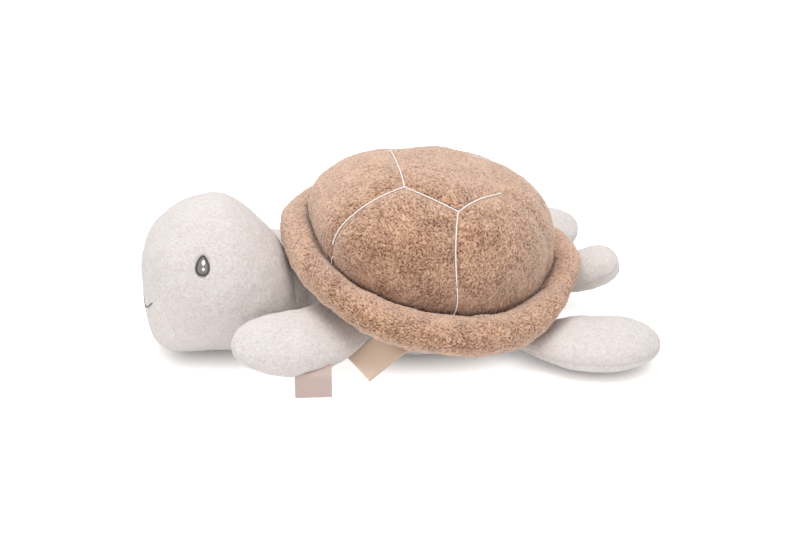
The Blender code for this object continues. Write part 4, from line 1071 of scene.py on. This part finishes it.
class MESH_OT_turtle_face(bpy.types.Operator):
    """Embroider the eyes and the mouth"""

    bl_idname = "mesh.turtle_face"
    bl_label = "Face"

    def stitches(self, name, view, ends, width, sink, lift, finish):
        """Short flat stitches between pairs of points laid on the head, each arched up like a sine."""
        starts, slopes = HEAD_SKIN.lay(view, ends[:, 0], ends[:, 1])
        stops, _ = HEAD_SKIN.lay(view, ends[:, 2], ends[:, 3])
        ups, low = slopes[:, None], (slopes * sink)[:, None]
        t = np.linspace(0, 1, len(STITCH_SHAPE))[None, :, None]
        centres = starts[:, None] * (1 - t) + stops[:, None] * t - low + ups * np.sin(math.pi * t) * lift
        radii = width / 2 * np.array(STITCH_SHAPE) * np.ones((len(centres), 1))
        ups = np.repeat(ups, centres.shape[1], axis=1)
        return tubes(name, centres, ups, radii, STITCH_SIDES, finish, STITCH_SQUASH)

    def outline(self):
        """Two rings of overlapping stitches, uneven on both sides of the eye's outline."""
        turn = np.linspace(0, 2 * math.pi, EYE_RING_STITCHES, endpoint=False)
        rings = []
        for k, size in enumerate(EYE_RINGS):
            wobble = 1 + EYE_WOBBLE * np.sin(turn * EYE_WAVES + k)
            starts = eye_outline(turn + EYE_RING_TURN * k, size * wobble)
            stops = eye_outline(turn + EYE_RING_TURN * k + EYE_OVERLAP, size * (2 - wobble))
            rings.append(np.stack([*starts, *stops], axis=1))
        return np.concatenate(rings)

    def filling(self):
        """Rows of three stitches across the eye, each lapping over the next."""
        across, up = eye_outline(np.arccos(np.linspace(*EYE_ROW_ENDS, EYE_ROWS)), EYE_FILLING)
        rows = []
        for k in range(3):
            low, high = -1 + k * EYE_COLUMN, -1 + (k + 1) * EYE_COLUMN + EYE_COLUMN_LAP
            rows.append(np.stack([across * low, up + EYE_STAGGER * (k % 2), across * min(high, 1.0),
                                  up - EYE_SLANT], axis=1))
        return np.concatenate(rows)

    def lights(self, side):
        """Upright stitches that fill two ovals of light, which lie towards the front of each eye."""
        ovals = []
        for middle, height, wide, tall, count in EYE_LIGHTS:
            t = np.linspace(-0.9, 0.9, count)
            across, half = -side * (middle + t * wide), tall * np.sqrt(1 - t * t)
            ovals.append(np.stack([across, height - half, across, height + half], axis=1))
        return np.concatenate(ovals) * MM

    def execute(self, context):
        thread = context.scene.turtle_thread
        dark, grey, white = (thread_material(word + " thread", getattr(thread, word))
                             for word in ("dark", "grey", "white"))
        for side, word in ((-1, "left"), (1, "right")):
            view = HEAD_SKIN.eye_frame(side)
            outline = self.stitches(f"eye_{word}_outline", view, self.outline(), width=0.75 * MM,
                                    sink=0.75 * MM, lift=0.35 * MM, finish=dark)
            finish_piece(outline, "head", "grey_thread", "eye_" + word)
            filling = self.stitches(f"eye_{word}_filling", view, self.filling(), width=0.58 * MM,
                                    sink=0.95 * MM, lift=0.25 * MM, finish=grey)
            finish_piece(filling, "head", "grey_thread")
            lights = self.stitches(f"eye_{word}_lights", view, self.lights(side), width=0.42 * MM,
                                   sink=0.6 * MM, lift=0.35 * MM, finish=white)
            finish_piece(lights, "head", "white_thread")
        slopes = outward_slopes(HEAD_SKIN.tree, MOUTH_PATH, (HEAD_X, 0, HEAD_Z))
        beat = np.abs(np.sin(np.arange(len(MOUTH_PATH)) * MOUTH_STEP / MOUTH_STITCH * math.pi))
        centres = MOUTH_PATH + slopes * (MOUTH_ARCH * beat - MOUTH_SINK)[:, None]
        radii = thread.mouth_radius * (0.75 + 0.25 * beat)
        mouth = tubes("mouth_thread", centres[None], slopes[None], radii[None], LINE_SIDES, dark)
        finish_piece(mouth, "head", "grey_thread", "mouth_stitch")
        return {"FINISHED"}


class MESH_OT_turtle_limbs(bpy.types.Operator):
    """Add the four terry flippers and the tail, each with the seam round its edge"""

    bl_idname = "mesh.turtle_limbs"
    bl_label = "Flippers and tail"

    def execute(self, context):
        for seed, limb in enumerate(LIMBS, 20):
            points, groups, x, turn, up = limb.skin(context.scene.turtle_pile.mesh_step)
            seam = bell(up, LIMB_SEAM_WIDTH)
            folds = np.cos(ROOT_FOLDS * turn) * np.exp(-np.maximum(x, 0) / FOLD_REACH)
            piece = raise_pile(limb.name + "_cover", points, groups, "terry", lumps=0.8 * MM,
                               dips=LIMB_SEAM_DEPTH * seam + FOLD_DEPTH * folds, keep=1 - SEAM_HIDES * seam,
                               seed=seed)
            nodes = (limb.name + part for part in ("_top_panel", "_bottom_panel", "_stuffing"))
            finish_piece(piece, limb.name, "cream_terry", *nodes, fill=0.85)
        return {"FINISHED"}


class MESH_OT_turtle_labels(bpy.types.Operator):
    """Add the two bare folded ribbon labels"""

    bl_idname = "mesh.turtle_labels"
    bl_label = "Labels"

    def middle_line(self, length, dips):
        """Middle line of a label seen from its edge, from its sewn end to its fold, and its slope: the
        dip grows smoothly from the first angle to the last over the bend's share of the length."""
        share = np.linspace(-LABEL_ROOT / length, 1, LABEL_STEPS)
        between = np.concatenate([[share[0]], (share[1:] + share[:-1]) / 2])
        angle = dips[0] + (dips[1] - dips[0]) * smooth(0, LABEL_BEND_SHARE, between)
        stride = np.concatenate([[share[0]], np.diff(share)]) * length
        line = np.stack([np.cos(angle) * stride, -np.sin(angle) * stride], axis=-1).cumsum(axis=0)
        return line, angle

    def ribbon(self, name, label, place, turn, finish, phase):
        """A ribbon folded in two: out along the top layer, round a small half circle and back, with
        a slow wave across it that grows with how far it reaches out. Its cloth map is in metres."""
        width, length, dips = label
        middle, angle = self.middle_line(length, dips)
        side = np.stack([np.sin(angle), np.cos(angle)], axis=-1)
        share = np.linspace(0, 1, LABEL_STEPS)
        apart = LABEL_OPENING * smooth(0, 0.3, share) + LABEL_GAP
        over, under = middle + side * apart[:, None], middle - side * apart[:, None]
        bow = np.linspace(0, math.pi, LABEL_FOLD_STEPS)[1:-1, None]
        ahead = np.array((side[-1, 1], -side[-1, 0]))
        fold = middle[-1] + apart[-1] * (np.cos(bow) * side[-1] + np.sin(bow) * ahead)
        line = np.concatenate([over, fold, under[::-1]])
        along = travelled(line)
        across = np.linspace(-width / 2, width / 2, LABEL_COLUMNS)
        fade = np.concatenate([share, np.ones(len(fold)), share[::-1]])[:, None]
        wave = LABEL_WAVE * np.sin(across / width * 3.1 + phase) * smooth(0.2, 1, middle[-1, 0] / length)
        y, x = np.meshgrid(across, line[:, 0])
        local = np.stack([x, y, line[:, 1:] + wave * fade], axis=-1)
        points = local.reshape(-1, 3) @ np.array(turn).T + np.array(place)
        uv = np.stack(np.meshgrid(across, along), axis=-1).reshape(-1, 2)
        piece = mesh_object(name, points, [grid_faces(len(line), LABEL_COLUMNS)], finish, uv=uv)
        wall = piece.modifiers.new("Ribbon", "SOLIDIFY")
        wall.thickness, wall.offset = LABEL_WALL, 0.0
        return piece, (width, float(along[-1]))

    def execute(self, context):
        colours, flipper = context.scene.turtle_label, LIMBS[0]
        px, py, heading = (float(part) for part in flipper.spine(np.array(MAUVE_SPOT)))
        side = Vector((-math.sin(heading), math.cos(heading), 0))
        edge = Vector((px, py, 0)) + side * float(flipper.section(np.array(MAUVE_SPOT))[0])
        level = flipper.turn.inverted() @ Vector((0, 0, 1))
        outward = (side - level * side.dot(level)).normalized()
        turn = flipper.turn @ Matrix((outward, level.cross(outward), level)).transposed()
        piece, flat = self.ribbon(
            "flipper_label_ribbon", MAUVE_LABEL, flipper.turn @ edge + flipper.place,
            Matrix.Rotation(MAUVE_TURN, 3, "Z") @ turn,
            ribbon_material("mauve ribbon", colours.mauve, colours.rib, 0.8, "Y", 0.2), phase=0.4)
        finish_piece(piece, "front_flipper_left", "mauve_ribbon", "flipper_label")

        piece, flat = self.ribbon(
            "rim_label_ribbon", GOLD_LABEL, belly_spot(GOLD_ANGLE, GOLD_HEIGHT),
            Matrix.Rotation(GOLD_TURN, 3, "Z") @ Matrix.Rotation(GOLD_ROLL, 3, "X"),
            ribbon_material("gold ribbon", colours.gold, colours.rib * 0.8, 0.45, "X", 0.45), phase=1.7)
        finish_piece(piece, "body", "gold_ribbon", "rim_label")
        return {"FINISHED"}


# Stage


def shown_white(wiring, surface, strength, target):
    """Add a plain glow to a shader for what the camera, a reflection or glass sees of it, weaker close
    to what stands on it."""
    path = wiring.add("LightPath").outputs
    seen = wiring.add("Math", {0: wiring.math("ADD", path["Is Camera Ray"], path["Is Glossy Ray"]),
                               1: path["Is Transmission Ray"]}, operation="ADD", use_clamp=True)
    share = wiring.math("MULTIPLY", seen.outputs[0], strength)
    # Painted contact shadow: ambient occlusion dims the glow close to the turtle
    painted_shadow_factor = wiring.add("AmbientOcclusion", {"Distance": CONTACT_REACH}, samples=8).outputs["AO"]
    glow = wiring.add("Emission", {"Strength": wiring.math("MULTIPLY", share, painted_shadow_factor)})
    both = wiring.add("AddShader", {0: surface, 1: glow.outputs[0]})
    wiring.links.new(both.outputs[0], target)


class MESH_OT_turtle_stage(bpy.types.Operator):
    """Add the pale floor, the soft lamps and the camera"""

    bl_idname = "mesh.turtle_stage"
    bl_label = "Stage"

    def add_floor(self, colour):
        """A flat square, with a faint grain, that the camera sees as white away from the turtle."""
        made, wiring, shader = new_material("pale floor", 0.9)
        grain = wiring.add("TexNoise", {"Scale": 3.0}).outputs["Fac"]
        wiring.feed(shader, {"Specular IOR Level": 0.0,
                             "Base Color": wiring.mix(grain, tone(colour), tone(colour, 0.99))})
        shown_white(wiring, shader.outputs[0], FLOOR_GLOW, wiring.nodes["Material Output"].inputs["Surface"])
        corners = np.array([(-1, -1, 0), (1, -1, 0), (1, 1, 0), (-1, 1, 0)]) * FLOOR_HALF
        mesh_object("floor", corners, [np.array([[0, 1, 2, 3]])], made)

    def light_room(self, scene):
        """A white room that lights the turtle a little less than the camera sees it, and the lamps."""
        world = bpy.data.worlds.new("soft room")
        world.use_nodes = True
        scene.world = world
        wiring = Wiring(world.node_tree)
        seen = wiring.add("LightPath").outputs["Is Camera Ray"]
        bright = wiring.add("Mix", {"Factor": seen, "A": ROOM_LIGHT, "B": 1.0}).outputs["Result"]
        wiring.feed(wiring.nodes["Background"], {"Color": (1, 1, 1, 1), "Strength": bright})
        for name, (size, watts, place, aim) in LAMPS.items():
            data = bpy.data.lights.new(name, "AREA")
            data.shape, data.size, data.energy = "SQUARE", size, watts
            made = bpy.data.objects.new(name, data)
            made.location = place
            made.rotation_euler = (Vector(aim) - Vector(place)).to_track_quat("-Z", "Y").to_euler()
            scene.collection.objects.link(made)

    def add_camera(self, scene):
        """The camera, turned round its aim by the azimuth and raised by the elevation."""
        stage = scene.turtle_stage
        data = bpy.data.cameras.new("camera")
        data.lens, data.sensor_width = stage.lens, 36.0
        data.clip_start, data.clip_end = 0.05, 20.0
        camera = bpy.data.objects.new("camera", data)
        a, e = stage.azimuth, stage.elevation
        back = Vector((math.sin(a) * math.cos(e), -math.cos(a) * math.cos(e), math.sin(e)))
        right = Vector((math.cos(a), math.sin(a), 0))
        turn = Matrix((right, back.cross(right), back)).transposed()
        camera.matrix_world = Matrix.Translation(Vector(CAMERA_AIM) + back * stage.distance) @ turn.to_4x4()
        scene.collection.objects.link(camera)
        scene.camera = camera

    def execute(self, context):
        scene = context.scene
        self.add_floor(scene.turtle_stage.floor)
        self.light_room(scene)
        self.add_camera(scene)
        scene.view_settings.view_transform = "Standard"
        return {"FINISHED"}


STEPS = (MESH_OT_turtle_shell, MESH_OT_turtle_lines, MESH_OT_turtle_rim, MESH_OT_turtle_belly,
         MESH_OT_turtle_head, MESH_OT_turtle_face, MESH_OT_turtle_limbs, MESH_OT_turtle_labels,
         MESH_OT_turtle_stage)
SETTINGS = {"turtle_pile": PileSettings, "turtle_thread": ThreadSettings, "turtle_label": LabelSettings,
            "turtle_stage": StageSettings}


class VIEW3D_PT_turtle(bpy.types.Panel):
    """Lists the turtle's pieces and their settings"""

    bl_label = "Plush turtle"
    bl_space_type = "VIEW_3D"
    bl_region_type = "UI"
    bl_category = "Turtle"

    def draw(self, context):
        for step in STEPS:
            self.layout.operator(step.bl_idname)
        for word, group in SETTINGS.items():
            settings = getattr(context.scene, word)
            for name in group.__annotations__:
                self.layout.prop(settings, name)


def register():
    for kind in (*SETTINGS.values(), *STEPS, VIEW3D_PT_turtle):
        bpy.utils.register_class(kind)
    for word, group in SETTINGS.items():
        setattr(bpy.types.Scene, word, bpy.props.PointerProperty(type=group))


def unregister():
    for word in SETTINGS:
        delattr(bpy.types.Scene, word)
    for kind in (VIEW3D_PT_turtle, *reversed(STEPS), *reversed(SETTINGS.values())):
        bpy.utils.unregister_class(kind)


def main():
    register()
    for step in STEPS:
        group, name = step.bl_idname.split(".")
        getattr(getattr(bpy.ops, group), name)()


if __name__ == "__main__":
    main()
